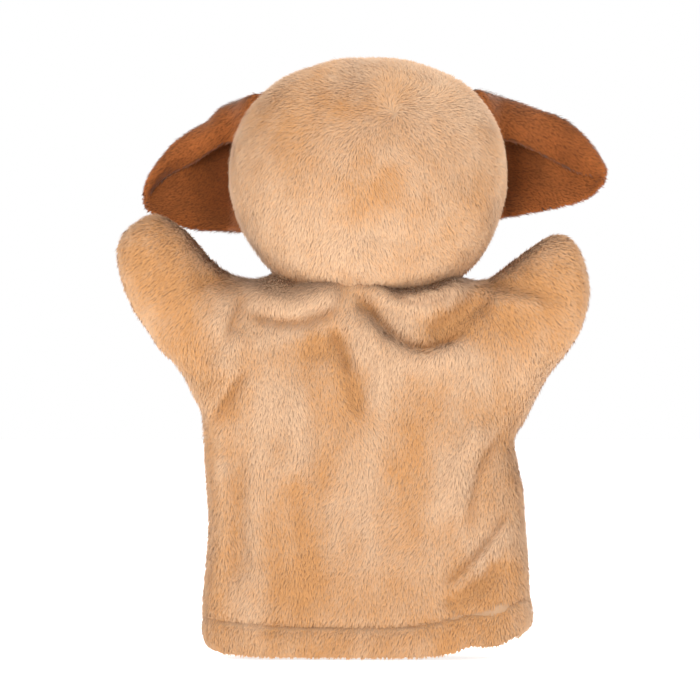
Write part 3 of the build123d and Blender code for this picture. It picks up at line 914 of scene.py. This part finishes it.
def glove_pattern(spacing):
    """Flat pattern of the glove: points, triangles, and which points are on its sewn edge."""
    left = smooth_line(LEFT_EDGE, spacing)
    neck = smooth_line([LEFT_EDGE[-1], (20, NECK_TOP), (-20, NECK_TOP), RIGHT_EDGE[0]], spacing)[1:-1]
    right = smooth_line(RIGHT_EDGE, spacing)
    hem = smooth_line([RIGHT_EDGE[-1], *HEM_EDGE, LEFT_EDGE[0]], spacing)[1:-1]
    outline = np.concatenate([left, neck, right, hem])
    low, high = outline.min(0), outline.max(0)
    rows = np.arange(low[1] + spacing / 2, high[1], spacing * 0.866)
    inner = np.array([(x + (i % 2) * spacing / 2, z) for i, z in enumerate(rows)
                      for x in np.arange(low[0], high[0], spacing)])
    far, _ = to_line(inner, np.vstack([outline, outline[:1]]))
    inner = inner[(far > 0.55 * spacing)]
    inside = np.zeros(len(inner), bool)
    ends = np.roll(outline, -1, axis=0)
    for (x0, z0), (x1, z1) in zip(outline, ends):
        crosses = (z0 > inner[:, 1]) != (z1 > inner[:, 1])
        if crosses.any():
            at = x0 + (inner[:, 1] - z0) * (x1 - x0) / (z1 - z0 if z1 != z0 else 1e-9)
            inside ^= crosses & (inner[:, 0] < at)
    inner = inner[inside]
    points = np.concatenate([outline, inner])
    loop = list(range(len(outline)))
    done = delaunay_2d_cdt([Vector(p) for p in points], [], [loop], 1, 1e-5)
    points = np.array([tuple(p) for p in done[0]])
    faces = np.array([f for f in done[2] if len(f) == 3])
    on_edge = np.zeros(len(points), bool)
    far, _ = to_line(points, left)
    far_right, _ = to_line(points, right)
    on_edge[np.minimum(far, far_right) < 1e-3] = True
    return points, faces, on_edge


def comb_of_body(points, back):
    """Lie of the pile over the glove: down, with drifting partings, out along the arms."""
    drift = waves([(x, z * 0.55, 7.0 if back else -9.0) for x, z in points], 26.0, 3)
    turn = 0.75 * drift + (0.1 if back else -0.1)
    comb = np.stack([np.sin(turn), np.zeros(len(points)), -np.cos(turn)], axis=1)
    for side, sign in SIDES.items():
        centre, _ = shoulder(side)
        out = reach_out(points, centre, arm_direction(side))
        share = np.clip((out - 4) / 24, 0, 1)[:, None] * (sign * points[:, 0] > 40)[:, None]
        across = np.array((sign * 0.75, 0, -0.65))
        comb = comb * (1 - share) + across * share
    return comb / np.linalg.norm(comb, axis=1)[:, None]


def build_glove_surface():
    """Back and front of the glove as one set of points, with what the pile needs."""
    cloth = bpy.context.scene.puppet_cloth
    points, faces, on_edge = glove_pattern(cloth.spacing / MM)
    full = inflated(points, faces, on_edge, cloth.flatness / MM) * cloth.fullness
    lean = arm_lean(points)
    away, _ = to_line(points, STITCH_LINE)
    level = np.interp(points[:, 0], [p[0] for p in STITCH_LINE[::-1]], [p[1] for p in STITCH_LINE[::-1]])
    groove = -2.2 * np.exp(-((away / 1.3) ** 2))
    band = 0.9 * np.exp(-((points[:, 1] - level * 0.5) / (level * 0.42)) ** 2) * (points[:, 1] < level)
    edge_fade = np.clip(full / 7.0, 0, 1)
    seam = np.interp(points[:, 0], [p[0] for p in NECK_SEAM], [p[1] for p in NECK_SEAM])
    seam = np.where(np.abs(points[:, 0]) < 42, seam, 400)
    drawn = np.clip((points[:, 1] - seam + 0.8) / 4, 0, 1)
    at_neck = np.clip((44 - np.abs(points[:, 0])) / 8, 0, 1)
    full = full * (1 - 0.38 * drawn * drawn * (3 - 2 * drawn) * at_neck)
    wrinkles = 0.9 * waves([(x * 1.8, z * 0.5, 3) for x, z in points], 16.0, 9, 2)
    lumps = 0.7 * waves([(x, z, 0) for x, z in points], 17.0, 5, 3) + wrinkles
    sewn_down = (groove + band) * np.minimum(edge_fade * 2, 1)
    back = full + (fold_heights(points, BACK_FOLDS) + lumps) * edge_fade + sewn_down
    lumps = 0.7 * waves([(x, z, 40) for x, z in points], 17.0, 6, 3) - wrinkles
    front = full * 0.94 + (fold_heights(points, FRONT_FOLDS) + lumps) * edge_fade + sewn_down
    nap = 1 - 0.8 * np.exp(-((away / 1.0) ** 2))
    nap *= 0.5 + 0.5 * np.clip((points[:, 1] - np.interp(points[:, 0], *zip(*HEM_LEVEL))) / 3.0, 0, 1)
    # Painted shade along the hem's stitched groove, stronger and weaker by turns along it
    scallop = 0.75 + 0.25 * np.sin(points[:, 0] * 2.4)
    crease = np.exp(-((away / 0.9) ** 2)) * scallop
    hem_curl = 1.6 * np.clip(1 - points[:, 1] / 5.0, 0, 1) ** 2
    back -= hem_curl
    front -= hem_curl
    tones = {}
    for key, shift in (("back", 0.0), ("front", 60.0)):
        drift = waves([(x, z * 0.6, shift) for x, z in points], 15.0, 8, 2)
        tone = 0.5 + 0.22 * drift
        if key == "back":
            # Warmer patches, partly painted shade in hollows, and paler patches, partly painted highlight on
            # ridges
            tone = tone + patch_tone(points, WARM_NAP_AND_SHADE_PATCHES) - patch_tone(points, PALE_NAP_AND_HIGHLIGHT_PATCHES)
        # Painted light and shade: the tone is paler on the ridges of folds and warmer in their valleys
        relief = fold_heights(points, BACK_FOLDS if key == "back" else FRONT_FOLDS) + wrinkles
        tones[key] = np.clip(tone - 0.13 * relief, 0, 1)
    # Painted shade in the hollows in front of folds that lie over the cloth, added to the crease attribute
    hollow_shade = np.clip(-overlap_heights(points, BACK_OVERLAPS) / 3.2, 0, 1)
    creases = {key: np.clip(crease + hollow_shade * (key == "back"), 0, 1) for key in ("back", "front")}
    glove.update(points=points, faces=faces, lean=lean, back=back, front=front, nap=nap, tones=tones,
                 creases=creases)


def glove_sheet(key, chosen, name):
    """One face of the glove, or the part of it with the chosen triangles, as an object with attributes."""
    points = glove["points"]
    sign = 1 if key == "back" else -1
    depth = glove["lean"] + sign * glove[key]
    used = np.unique(glove["faces"][chosen])
    index = np.full(len(points), -1)
    index[used] = np.arange(len(used))
    verts = np.stack([points[used, 0], depth[used], points[used, 1]], axis=1) * MM
    faces = index[glove["faces"][chosen]]
    a, b, c = (points[glove["faces"][chosen[0]][k]] for k in range(3))
    turn = (b[0] - a[0]) * (c[1] - a[1]) - (b[1] - a[1]) * (c[0] - a[0])
    faces = faces if (turn > 0) == (sign < 0) else faces[:, ::-1]
    sheet = new_mesh(name, verts, faces)
    store(sheet, "comb", laid_flat(comb_of_body(points[used], key == "back"), normals_of(sheet)))
    store(sheet, "nap", glove["nap"][used])
    store(sheet, "tone", glove["tones"][key][used])
    # The crease attribute is painted shade along the hem's groove and in the hollows of the folds
    store(sheet, "crease", glove["creases"][key][used])
    return sheet


def joined(pieces, name):
    """Several objects as one, with points that coincide merged."""
    bpy.ops.object.select_all(action="DESELECT")
    for piece in pieces:
        piece.select_set(True)
    bpy.context.view_layer.objects.active = pieces[0]
    if len(pieces) > 1:
        bpy.ops.object.join()
    whole = pieces[0]
    whole.name = whole.data.name = name
    bpy.ops.object.mode_set(mode="EDIT")
    bpy.ops.mesh.select_all(action="SELECT")
    bpy.ops.mesh.remove_doubles(threshold=1e-6)
    bpy.ops.object.mode_set(mode="OBJECT")
    return whole


def zones():
    """Triangles of the glove's pattern for each stretch of cloth between two bodies."""
    middles = glove["points"][glove["faces"]].mean(1) * MM
    taken = np.zeros(len(middles), bool)
    found = {}
    for side, sign in SIDES.items():
        centre, heading = shoulder(side)
        out = reach_out(middles, centre, heading, 1)
        here = sign * middles[:, 0] > 10 * MM
        found[f"arm_{side}"] = np.flatnonzero(here & (out >= SHOULDER_END))
        found[f"shoulder_{side}"] = np.flatnonzero(here & (out >= BODY_END) & (out < SHOULDER_END))
        taken[found[f"arm_{side}"]] = True
        taken[found[f"shoulder_{side}"]] = True
    found["body"] = np.flatnonzero(~taken)
    return found


def flat_size(piece):
    """Nominal width and length of a stretch of the glove's cloth, and its area less a little fullness."""
    area = sum(face.area for face in piece.data.polygons) * 0.96
    size = np.ptp(points_of(piece), axis=0)
    length = max(size[2], 0.012)
    return (max(1.15 * area / length, 0.012), length), area


def place_cloth(piece, zone):
    """Attaches the body's stretch of the glove's cloth, or its pile, to the glove; a shoulder's or an arm's
    stretch only has its placing applied to its mesh.
    """
    if zone == "body":
        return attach(piece, "glove")
    part, side = zone.split("_")
    if part == "shoulder":
        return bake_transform(piece)
    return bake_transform(piece)


ZONE_NODES = {
    "body": ("body_back", "body_front"),
    "shoulder_left": ("underarm_seam_left",),
    "shoulder_right": ("underarm_seam_right",),
    "arm_left": ("arm_left_back", "arm_left_front"),
    "arm_right": ("arm_right_back", "arm_right_front"),
}


class PUPPET_OT_glove(bpy.types.Operator):
    """Builds the glove's cloth in five stretches, each with its pile"""

    bl_idname = "puppet.glove"
    bl_label = "Glove"

    def execute(self, context):
        build_glove_surface()
        cloth = context.scene.puppet_cloth
        for number, (zone, triangles) in enumerate(zones().items()):
            sheets = []
            for key in ("back", "front"):
                sheet = glove_sheet(key, triangles, f"{zone}_{key}")
                seed = 10 * number + (key == "front")
                pile = grow_pile(sheet, f"{zone}_pile_{key}", "Tan plush", seed=seed)
                place_cloth(pile, zone)
                sheets.append(sheet)
            skin = joined(sheets, f"{zone}_cloth")
            flat, area = flat_size(skin)
            dressed(skin, material_named("Tan ground"))
            thickened(skin, cloth.thickness)
            place_cloth(skin, zone)
            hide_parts(*ZONE_NODES[zone])
        return {"FINISHED"}


def glove_depth(x, z, key):
    """Depth of the glove's surface nearest to a place, in millimetres."""
    nearest = np.argmin(((glove["points"] - np.array((x, z))) ** 2).sum(1))
    sign = 1 if key == "back" else -1
    return glove["lean"][nearest] + sign * glove[key][nearest]


class PUPPET_OT_hem(bpy.types.Operator):
    """Builds the turned-up hem, its stitching, the inner seam allowances and the blank label"""

    bl_idname = "puppet.hem"
    bl_label = "Hem and seams"

    def execute(self, context):
        cloth = context.scene.puppet_cloth
        line = smooth_line(STITCH_LINE, 1.2)[2:-2]
        back = [Vector((x, glove_depth(x, z, "back") + 0.35, z)) * MM for x, z in line]
        front = [Vector((x, glove_depth(x, z, "front") - 0.35, z)) * MM for x, z in line[::-1]]
        sewn = stitches("hem_stitches", back + front, "Body thread", closed=True)
        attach(sewn, "glove")
        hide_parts("hem_stitching")

        edge = smooth_line([RIGHT_EDGE[-1], *HEM_EDGE, LEFT_EDGE[0]], 3.0)
        loop = [(x, z, glove_depth(x, z, "back") - 1.6) for x, z in edge]
        loop += [(x, z, glove_depth(x, z, "front") + 1.6) for x, z in edge[::-1]]
        rises = [0.3, 4.0, 9.0, 14.0, 17.0]
        verts = [Vector((x * 0.985, y - 0.25 * math.copysign(1, y) * (rise > 1), z + rise)) * MM
                 for rise in rises for x, z, y in loop]
        band = new_mesh("hem_band", verts, tube_faces(len(loop), len(rises)))
        store(band, "tone", np.full(len(verts), 0.5))
        dressed(band, material_named("Tan ground"))
        thickened(band, cloth.thickness, 0.0, 1)
        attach(band, "glove")
        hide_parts("hem_turnup")

        for side, sign in SIDES.items():
            low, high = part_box(f"side_seam_{side}")
            course = smooth_line([(low.z, 0), ((low.z + high.z) / 2, 0.0004 * sign), (high.z, 0)], 0.003)
            verts = []
            for i, (z, y) in enumerate(course):
                wave = 0.0003 * math.sin(i * 2.1)
                verts += [(low.x, y + wave, z), ((low.x + high.x) / 2, y - wave, z), (high.x, y, z)]
            strip = new_mesh(f"seam_allowance_{side}", verts, grid_faces(3, len(course)))
            dressed(strip, material_named("Tan ground"))
            thickened(strip, 0.0014, 0.0, 1)
            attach(strip, "glove")
            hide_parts(f"side_seam_{side}")

        low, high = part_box("care_label")
        width, height = high.x - low.x, high.z - low.z
        verts = []
        columns, rows = 9, 13
        for j in range(rows):
            for i in range(columns):
                u, v = i / (columns - 1), j / (rows - 1)
                sway = 0.0012 * math.sin(math.pi * u) * math.sin(2.2 * v + 0.4)
                verts.append((low.x + u * width, (low.y + high.y) / 2 + sway, low.z + v * height))
        label = new_mesh("blank_label", verts, grid_faces(columns, rows))
        dressed(label, material_named("Blank tape"))
        thickened(label, 0.0003, 0.0)
        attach(label, "glove")
        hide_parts("care_label")
        return {"FINISHED"}


class PUPPET_OT_neck(bpy.types.Operator):
    """Builds the gathered neck inside the head and the thread of the neck seam"""

    bl_idname = "puppet.neck"
    bl_label = "Neck"

    def execute(self, context):
        low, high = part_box("neck_gather")
        half_width, half_depth = (high.x - low.x) / 2, (high.y - low.y) / 2
        verts = []
        around, rings = 72, 9
        for j in range(rings):
            v = j / (rings - 1)
            for i in range(around):
                turn = 2 * math.pi * i / around
                pucker = 1 + 0.025 * math.sin(18 * turn + 0.8 * math.sin(3 * turn)) * (0.4 + v)
                spread = (1.12 - 0.1 * v) * pucker
                verts.append((half_width * spread * math.cos(turn),
                              half_depth * 0.85 * spread * math.sin(turn),
                              low.z + 0.006 + v * (high.z - low.z - 0.004)))
        sleeve = new_mesh("neck_sleeve", verts, tube_faces(around, rings))
        store(sleeve, "tone", np.full(len(verts), 0.5))
        dressed(sleeve, material_named("Tan ground"))
        thickened(sleeve, 0.0012, -1.0, 1)
        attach(sleeve, "collar")
        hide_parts("neck_gather")

        low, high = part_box("neck_seam")
        ring = [Vector((high.x * 0.97 * math.cos(t), high.y * 0.95 * math.sin(t), (low.z + high.z) / 2))
                for t in np.linspace(0, 2 * math.pi, 90, endpoint=False)]
        thread = stitches("neck_thread", ring, "Body thread", thread=1.4, closed=True)
        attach(thread, "neck")
        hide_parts("neck_seam")
        return {"FINISHED"}


# ---------------------------------------------------------------- head


def head_radius(turn):
    """Radius of the head's outline at angles in the plane of the face."""
    count = len(HEAD_RADII)
    radii = np.array([*HEAD_RADII, HEAD_RADII[0]])
    at = (np.degrees(turn) % 360) / (360 / count)
    i = np.floor(at).astype(int) % count
    t = at - np.floor(at)
    a, b, c, d = radii[(i - 1) % count], radii[i], radii[(i + 1) % count], radii[(i + 2) % count]
    return curve_between(a, b, c, d, t)


def head_point(directions):
    """Points of the head's surface, in millimetres, in given directions from its middle."""
    n = directions / np.linalg.norm(directions, axis=1)[:, None]
    radius = head_radius(np.arctan2(n[:, 2], n[:, 0]))
    points = np.stack([n[:, 0] * radius, n[:, 1] * HEAD_DEPTH, n[:, 2] * radius], axis=1)
    fuller = 1 + 0.42 * np.clip((-0.5 - n[:, 2]) / 0.5, 0, 1) * np.clip(1 - np.abs(n[:, 0]) / 0.8, 0, 1)
    points[:, 1] *= fuller
    points += np.array(HEAD_MIDDLE)
    lumps = 0.55 * waves(points, 24.0, 12, 2)
    back = n[:, 1] > 0
    seam = np.abs(points[:, 0] - HEAD_SEAM)
    low = np.clip((176 - points[:, 2]) / 14, 0, 1)
    pinch = 0.6 * np.exp(-((seam / 1.8) ** 2)) * low * back
    return points + n * (lumps - pinch)[:, None]


def sphere_points(level):
    """An icosphere's directions and faces."""
    bpy.ops.mesh.primitive_ico_sphere_add(subdivisions=level, radius=1)
    ball = bpy.context.object
    verts = points_of(ball)
    faces = [tuple(p.vertices) for p in ball.data.polygons]
    bpy.data.objects.remove(ball)
    return verts, faces


class PUPPET_OT_head(bpy.types.Operator):
    """Builds the stuffed head with its pile and the lined finger pocket"""

    bl_idname = "puppet.head"
    bl_label = "Head"

    def execute(self, context):
        directions, faces = sphere_points(7)
        points = head_point(directions)
        opening = (np.hypot(points[:, 0], points[:, 1]) < POCKET_MOUTH_RADIUS) & (points[:, 2] < 170)
        faces = [f for f in faces if not opening[list(f)].any()]
        head = new_mesh("head_cloth", points * MM, faces)
        drop_loose_points(head)
        points, normals = points_of(head) / MM, normals_of(head)
        away = laid_flat(points - np.array(HEAD_SWIRL), normals)
        swirl = np.cross(normals, away)
        drift = waves(points, 22.0, 21, 2)[:, None]
        comb = away * np.cos(1.1 * drift + 0.35) + swirl * np.sin(1.1 * drift + 0.35)
        fall = np.array((0.15, 0, -1.0)) - normals * (normals @ np.array((0.15, 0, -1.0)))[:, None]
        comb = comb + 0.8 * fall
        comb /= np.linalg.norm(comb, axis=1)[:, None] + 1e-6
        tone = 0.4 + 0.24 * waves(points, 15.0, 23, 2)
        behind = points[:, 1] > 0
        flat = points[:, [0, 2]]
        tone += behind * (patch_tone(flat, HEAD_WARM) - patch_tone(flat, HEAD_PALE))
        lower = np.clip((182 - points[:, 2]) / 30, 0, 1)
        store(head, "comb", comb)
        on_seam = np.exp(-((points[:, 0] - HEAD_SEAM) / 0.9) ** 2)
        store(head, "nap", 1 - 0.5 * on_seam * (points[:, 2] < 176) * (points[:, 1] > 0))
        store(head, "tone", np.clip(tone - 0.18 * lower, 0, 1))
        flags = points[:, 1] > 0
        for key, wanted in (("back", flags), ("front", ~flags)):
            half = head.copy()
            half.data = head.data.copy()
            context.scene.collection.objects.link(half)
            keep_half(half, wanted)
            pile = grow_pile(half, f"head_pile_{key}", "Tan plush", seed=70 + len(key))
            bpy.data.objects.remove(half)
            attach(pile, "head")
        dressed(head, material_named("Tan ground"))
        thickened(head, context.scene.puppet_cloth.thickness)
        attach(head, "head")
        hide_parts("head_back_left", "head_back_right", "face_panel", "head_stuffing")

        low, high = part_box("finger_pocket")
        mouth = HEAD_MIDDLE.z * MM - 0.0485
        heights = [mouth, mouth + 0.003, mouth + 0.008, low.z + 0.004, 0.19, 0.21, high.z - 0.010]
        radii = [0.0124, 0.0118, 0.0112, 0.0108, 0.0106, 0.0106, 0.0104]
        for angle in (30, 55, 75, 88):
            heights.append(high.z - 0.010 + 0.0104 * math.sin(math.radians(angle)))
            radii.append(0.0104 * math.cos(math.radians(angle)))
        around = 40
        verts = [(r * math.cos(2 * math.pi * i / around), r * math.sin(2 * math.pi * i / around), z)
                 for z, r in zip(heights, radii) for i in range(around)]
        faces = tube_faces(around, len(heights))
        faces.append(tuple((len(heights) - 1) * around + i for i in range(around)))
        lining = new_mesh("pocket_lining", verts, faces)
        dressed(lining, material_named("Lining"))
        thickened(lining, 0.0007, 1.0)
        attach(lining, "head")
        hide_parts("finger_pocket")
        return {"FINISHED"}


def keep_half(piece, wanted):
    """Removes the faces of a piece that have no wanted point."""
    work = bmesh.new()
    work.from_mesh(piece.data)
    work.verts.ensure_lookup_table()
    gone = [f for f in work.faces if sum(bool(wanted[v.index]) for v in f.verts) < 2]
    bmesh.ops.delete(work, geom=gone, context="FACES")
    work.to_mesh(piece.data)
    work.free()


class PUPPET_OT_face(bpy.types.Operator):
    """Builds the muzzle and its stitched mouth, and finishes the plastic eyes and nose"""

    bl_idname = "puppet.face"
    bl_label = "Face"

    def execute(self, context):
        low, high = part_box("muzzle")
        centre = Vector(((low.x + high.x) / 2, high.y, (low.z + high.z) / 2))
        half = Vector(((high.x - low.x) / 2, high.y - low.y, (high.z - low.z) / 2))
        directions, faces = sphere_points(6)
        keep = directions[:, 1] < 0.25
        cheeks = 1 + 0.05 * np.cos(2 * np.arctan2(directions[:, 2], directions[:, 0]))
        cleft = 0.0018 * np.exp(-((directions[:, 0] / 0.10) ** 2)) * np.clip(0.35 - directions[:, 2], 0, 1)
        points = directions * np.array((half.x, half.y, half.z)) * cheeks[:, None] + np.array(centre)
        points -= directions * cleft[:, None]
        faces = [f for f in faces if keep[list(f)].all()]
        muzzle = new_mesh("muzzle_pad", points, faces)
        drop_loose_points(muzzle)
        where, normals = points_of(muzzle), normals_of(muzzle)
        out = where - np.array((centre.x, low.y, high.z - 0.010))
        store(muzzle, "comb", laid_flat(out, normals, 1e-9) + np.array((0, 0, -0.4)))
        store(muzzle, "nap", np.full(len(where), 0.9))
        store(muzzle, "tone", np.clip(0.3 + 0.3 * waves(where, 0.012, 31), 0, 1))
        pile = grow_pile(muzzle, "muzzle_pile", "Cream plush", length=0.85, seed=90)
        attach(pile, "head")
        dressed(muzzle, material_named("Cream plush"))
        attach(muzzle, "head")
        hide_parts("muzzle", "muzzle_stuffing")

        low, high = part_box("mouth_stitching")
        middle, drop = (low.x + high.x) / 2, low.z + 0.0025
        lines = {
            "mouth_line": [(middle, high.z), (middle, drop)],
            "mouth_lip_left": [(middle, drop), (middle + 0.005, low.z), (high.x, drop + 0.0015)],
            "mouth_lip_right": [(middle, drop), (middle - 0.005, low.z), (low.x, drop + 0.0015)],
        }
        sewn = []
        for name, course in lines.items():
            line = smooth_line(course, 0.0006)
            path = []
            for x, z in line:
                share = 1 - ((x - centre.x) / half.x) ** 2 - ((z - centre.z) / half.z) ** 2
                path.append(Vector((x, centre.y - half.y * math.sqrt(max(share, 0.0)) - 0.0015, z)))
            sewn.append(stitches(name, path, "Mouth thread", fill=1.5, thread=2.6, pitch=0.0011))
        mouth = joined_plain(sewn, "mouth_stitches")
        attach(mouth, "head")
        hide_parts("mouth_stitching")

        for node in ("eye_left", "eye_right", "nose"):
            dressed(frame["nodes"][node], material_named("Eye plastic"))
        for node in ("eye_washer_left", "eye_washer_right", "nose_washer"):
            dressed(frame["nodes"][node], material_named("Washer plastic"))
        return {"FINISHED"}


def joined_plain(pieces, name):
    """Several objects as one, without merging points."""
    bpy.ops.object.select_all(action="DESELECT")
    for piece in pieces:
        piece.select_set(True)
    bpy.context.view_layer.objects.active = pieces[0]
    bpy.ops.object.join()
    pieces[0].name = pieces[0].data.name = name
    return pieces[0]


# ---------------------------------------------------------------- ears


class PUPPET_OT_ears(bpy.types.Operator):
    """Builds the two cupped ears with their rolled upper edge and pile"""

    bl_idname = "puppet.ears"
    bl_label = "Ears"

    def execute(self, context):
        for side, sign in SIDES.items():
            sections = np.array(EAR_SECTIONS[side], float)
            along = smooth_line(sections, 1.6)
            across = 34
            verts = []
            for k, (x, low, top, lip) in enumerate(along):
                u = k / (len(along) - 1)
                close = math.sqrt(max(0.0, 1 - u**6))
                rise = top - low
                heights = [low, low + 0.22 * rise, low + 0.52 * rise, low + 0.84 * rise, top,
                           (top + lip) / 2 + 0.6, lip]
                flat = eased(min(max((x - 60) / 20, 0), 1))
                depth = [-25 + ((1 - flat) * a + flat * b + 25) * close for a, b in zip(EAR_CUPPED, EAR_FLAT)]
                section = smooth_line(list(zip(depth, heights)), 1.0)
                at = np.linspace(0, len(section) - 1, across)
                ys = np.interp(at, np.arange(len(section)), section[:, 0])
                zs = np.interp(at, np.arange(len(section)), section[:, 1])
                verts += [(sign * x, y, z) for y, z in zip(ys, zs)]
            verts = np.array(verts)
            verts[:, 1] += 0.8 * waves(verts, 16.0, 41 if sign > 0 else 43)
            # by its root the ear dips under the head's skin
            inside = 1 - ((verts[:, 0] + 1) / 57) ** 2 - ((verts[:, 2] - 201) / 49) ** 2
            skin = -HEAD_DEPTH * np.sqrt(np.clip(inside, 0.02, 1)) + 3.5
            tuck = eased(np.clip((58 - np.abs(verts[:, 0])) / 12, 0, 1))
            verts[:, 1] = verts[:, 1] * (1 - tuck) + skin * tuck
            faces = [face[1:] + face[:1] for face in grid_faces(across, len(along))]
            faces = [face[::-1] for face in faces] if sign < 0 else faces
            ear = new_mesh(f"ear_{side}_cloth", verts * MM, faces)
            surface = bpy.data.objects.new(f"ear_{side}_surface", ear.data.copy())
            context.scene.collection.objects.link(surface)
            wall = surface.modifiers.new("Thickness", "SOLIDIFY")
            wall.thickness = EAR_THICKNESS
            wall.offset = 0
            surface = made_plain(surface, f"ear_{side}_surface")
            where, normals = points_of(surface) / MM, normals_of(surface)
            drift = 0.5 * waves(where, 18.0, 47)[:, None] * np.array((0, 0, 1))
            fall = np.array((sign * 0.8, 0.0, -0.55)) + drift
            store(surface, "comb", laid_flat(fall, normals, 1e-9))
            store(surface, "nap", np.full(len(where), 0.85))
            store(surface, "tone", np.clip(0.4 + 0.4 * waves(where, 12.0, 49), 0, 1))
            # Painted shade in the cupped pocket under the rolled edge, on the faces that turn towards the
            # back; stored as the crease attribute
            pocket_shade = np.clip((76 - np.abs(where[:, 0])) / 26, 0, 1) * np.clip((-22 - where[:, 1]) / 6, 0, 1)
            pocket_shade *= normals[:, 1] > -0.2
            store(surface, "crease", np.clip(1.2 * pocket_shade, 0, 1))
            pile = grow_pile(surface, f"ear_{side}_pile", "Chestnut plush", density=0.95, seed=100 + sign)
            bpy.data.objects.remove(surface)
            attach(pile, f"ear_{side}")
            dressed(ear, material_named("Chestnut plush"))
            thickened(ear, EAR_THICKNESS, 0.0)
            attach(ear, f"ear_{side}")
            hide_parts(f"ear_{side}_outer", f"ear_{side}_lining")
        return {"FINISHED"}


# ---------------------------------------------------------------- stage


def area_light(name, place, target, size, power):
    light = bpy.data.lights.new(name, "AREA")
    light.shape = "DISK"
    light.size = size
    light.energy = power
    lamp = bpy.data.objects.new(name, light)
    lamp.location = place
    lamp.rotation_euler = (Vector(target) - Vector(place)).to_track_quat("-Z", "Y").to_euler()
    bpy.context.scene.collection.objects.link(lamp)
    return lamp


class PUPPET_OT_stage(bpy.types.Operator):
    """Builds the white floor and world, the soft lights and the camera behind the puppet"""

    bl_idname = "puppet.stage"
    bl_label = "Stage"

    def execute(self, context):
        stage = context.scene.puppet_stage
        middle = Vector((0.0067, 0.0, 0.1281))
        camera_data = bpy.data.cameras.new("camera")
        camera_data.sensor_width = 36
        camera_data.lens = 36 * stage.distance / stage.across
        camera_data.clip_end = 50
        camera = bpy.data.objects.new("camera", camera_data)
        camera.location = middle + Vector((0, stage.distance, 0))
        camera.rotation_euler = (math.radians(90), 0, math.radians(180))
        context.scene.collection.objects.link(camera)
        context.scene.camera = camera

        floor = new_mesh("floor", [(-6, -6, -0.0012), (6, -6, -0.0012), (6, 6, -0.0012), (-6, 6, -0.0012)],
                         [(0, 1, 2, 3)], False)
        material, _, shader = new_material("White floor")
        fill_inputs(None, shader, {"Base Color": (0.9, 0.9, 0.9, 1), "Roughness": 0.9,
                                   "Emission Color": (1, 1, 1, 1), "Emission Strength": 0.8})
        dressed(floor, material)

        world = bpy.data.worlds.new("white_studio")
        world.use_nodes = True
        world.node_tree.nodes["Background"].inputs["Color"].default_value = (1, 1, 1, 1)
        world.node_tree.nodes["Background"].inputs["Strength"].default_value = 1.0
        context.scene.world = world
        target = (0, 0, 0.14)
        area_light("key", (0.6, 2.3, 0.55), target, 0.8, 25)
        area_light("top", (-0.5, 0.5, 1.7), target, 1.0, 9)
        area_light("front", (-0.6, -1.5, 1.1), target, 0.9, 12)
        context.scene.view_settings.view_transform = "Standard"
        context.scene.view_settings.look = "None"
        return {"FINISHED"}


class PUPPET_PT_panel(bpy.types.Panel):
    """Lists the puppet's pieces and sizes in the sidebar"""

    bl_idname = "PUPPET_PT_panel"
    bl_label = "Puppet"
    bl_space_type = "VIEW_3D"
    bl_region_type = "UI"
    bl_category = "Puppet"

    def draw(self, context):
        for operator in OPERATORS:
            self.layout.operator(operator.bl_idname)
        for name in ("spacing", "thickness", "fullness", "stitch_length", "thread"):
            self.layout.prop(context.scene.puppet_cloth, name)
        for name in ("length", "width", "density", "lift", "spread", "seed"):
            self.layout.prop(context.scene.puppet_pile, name)
        for name in ("pale", "warm", "cream", "brown", "thread"):
            self.layout.prop(context.scene.puppet_colours, name)


OPERATORS = (PUPPET_OT_stage, PUPPET_OT_glove, PUPPET_OT_hem, PUPPET_OT_neck, PUPPET_OT_head, PUPPET_OT_face,
             PUPPET_OT_ears)
SETTINGS = {"puppet_cloth": PUPPET_Cloth, "puppet_pile": PUPPET_Pile, "puppet_colours": PUPPET_Colours,
            "puppet_stage": PUPPET_Stage}


def register():
    for kind in (*SETTINGS.values(), *OPERATORS, PUPPET_PT_panel):
        bpy.utils.register_class(kind)
    for name, kind in SETTINGS.items():
        setattr(bpy.types.Scene, name, PointerProperty(type=kind))


def unregister():
    for name in SETTINGS:
        delattr(bpy.types.Scene, name)
    for kind in reversed((*SETTINGS.values(), *OPERATORS, PUPPET_PT_panel)):
        bpy.utils.unregister_class(kind)


def main():
    register()
    bpy.ops.puppet.stage()
    bpy.ops.puppet.glove()
    bpy.ops.puppet.hem()
    bpy.ops.puppet.neck()
    bpy.ops.puppet.head()
    bpy.ops.puppet.face()
    bpy.ops.puppet.ears()
    bpy.data.objects.remove(tuft_shape())


if __name__ == "__main__":
    main()
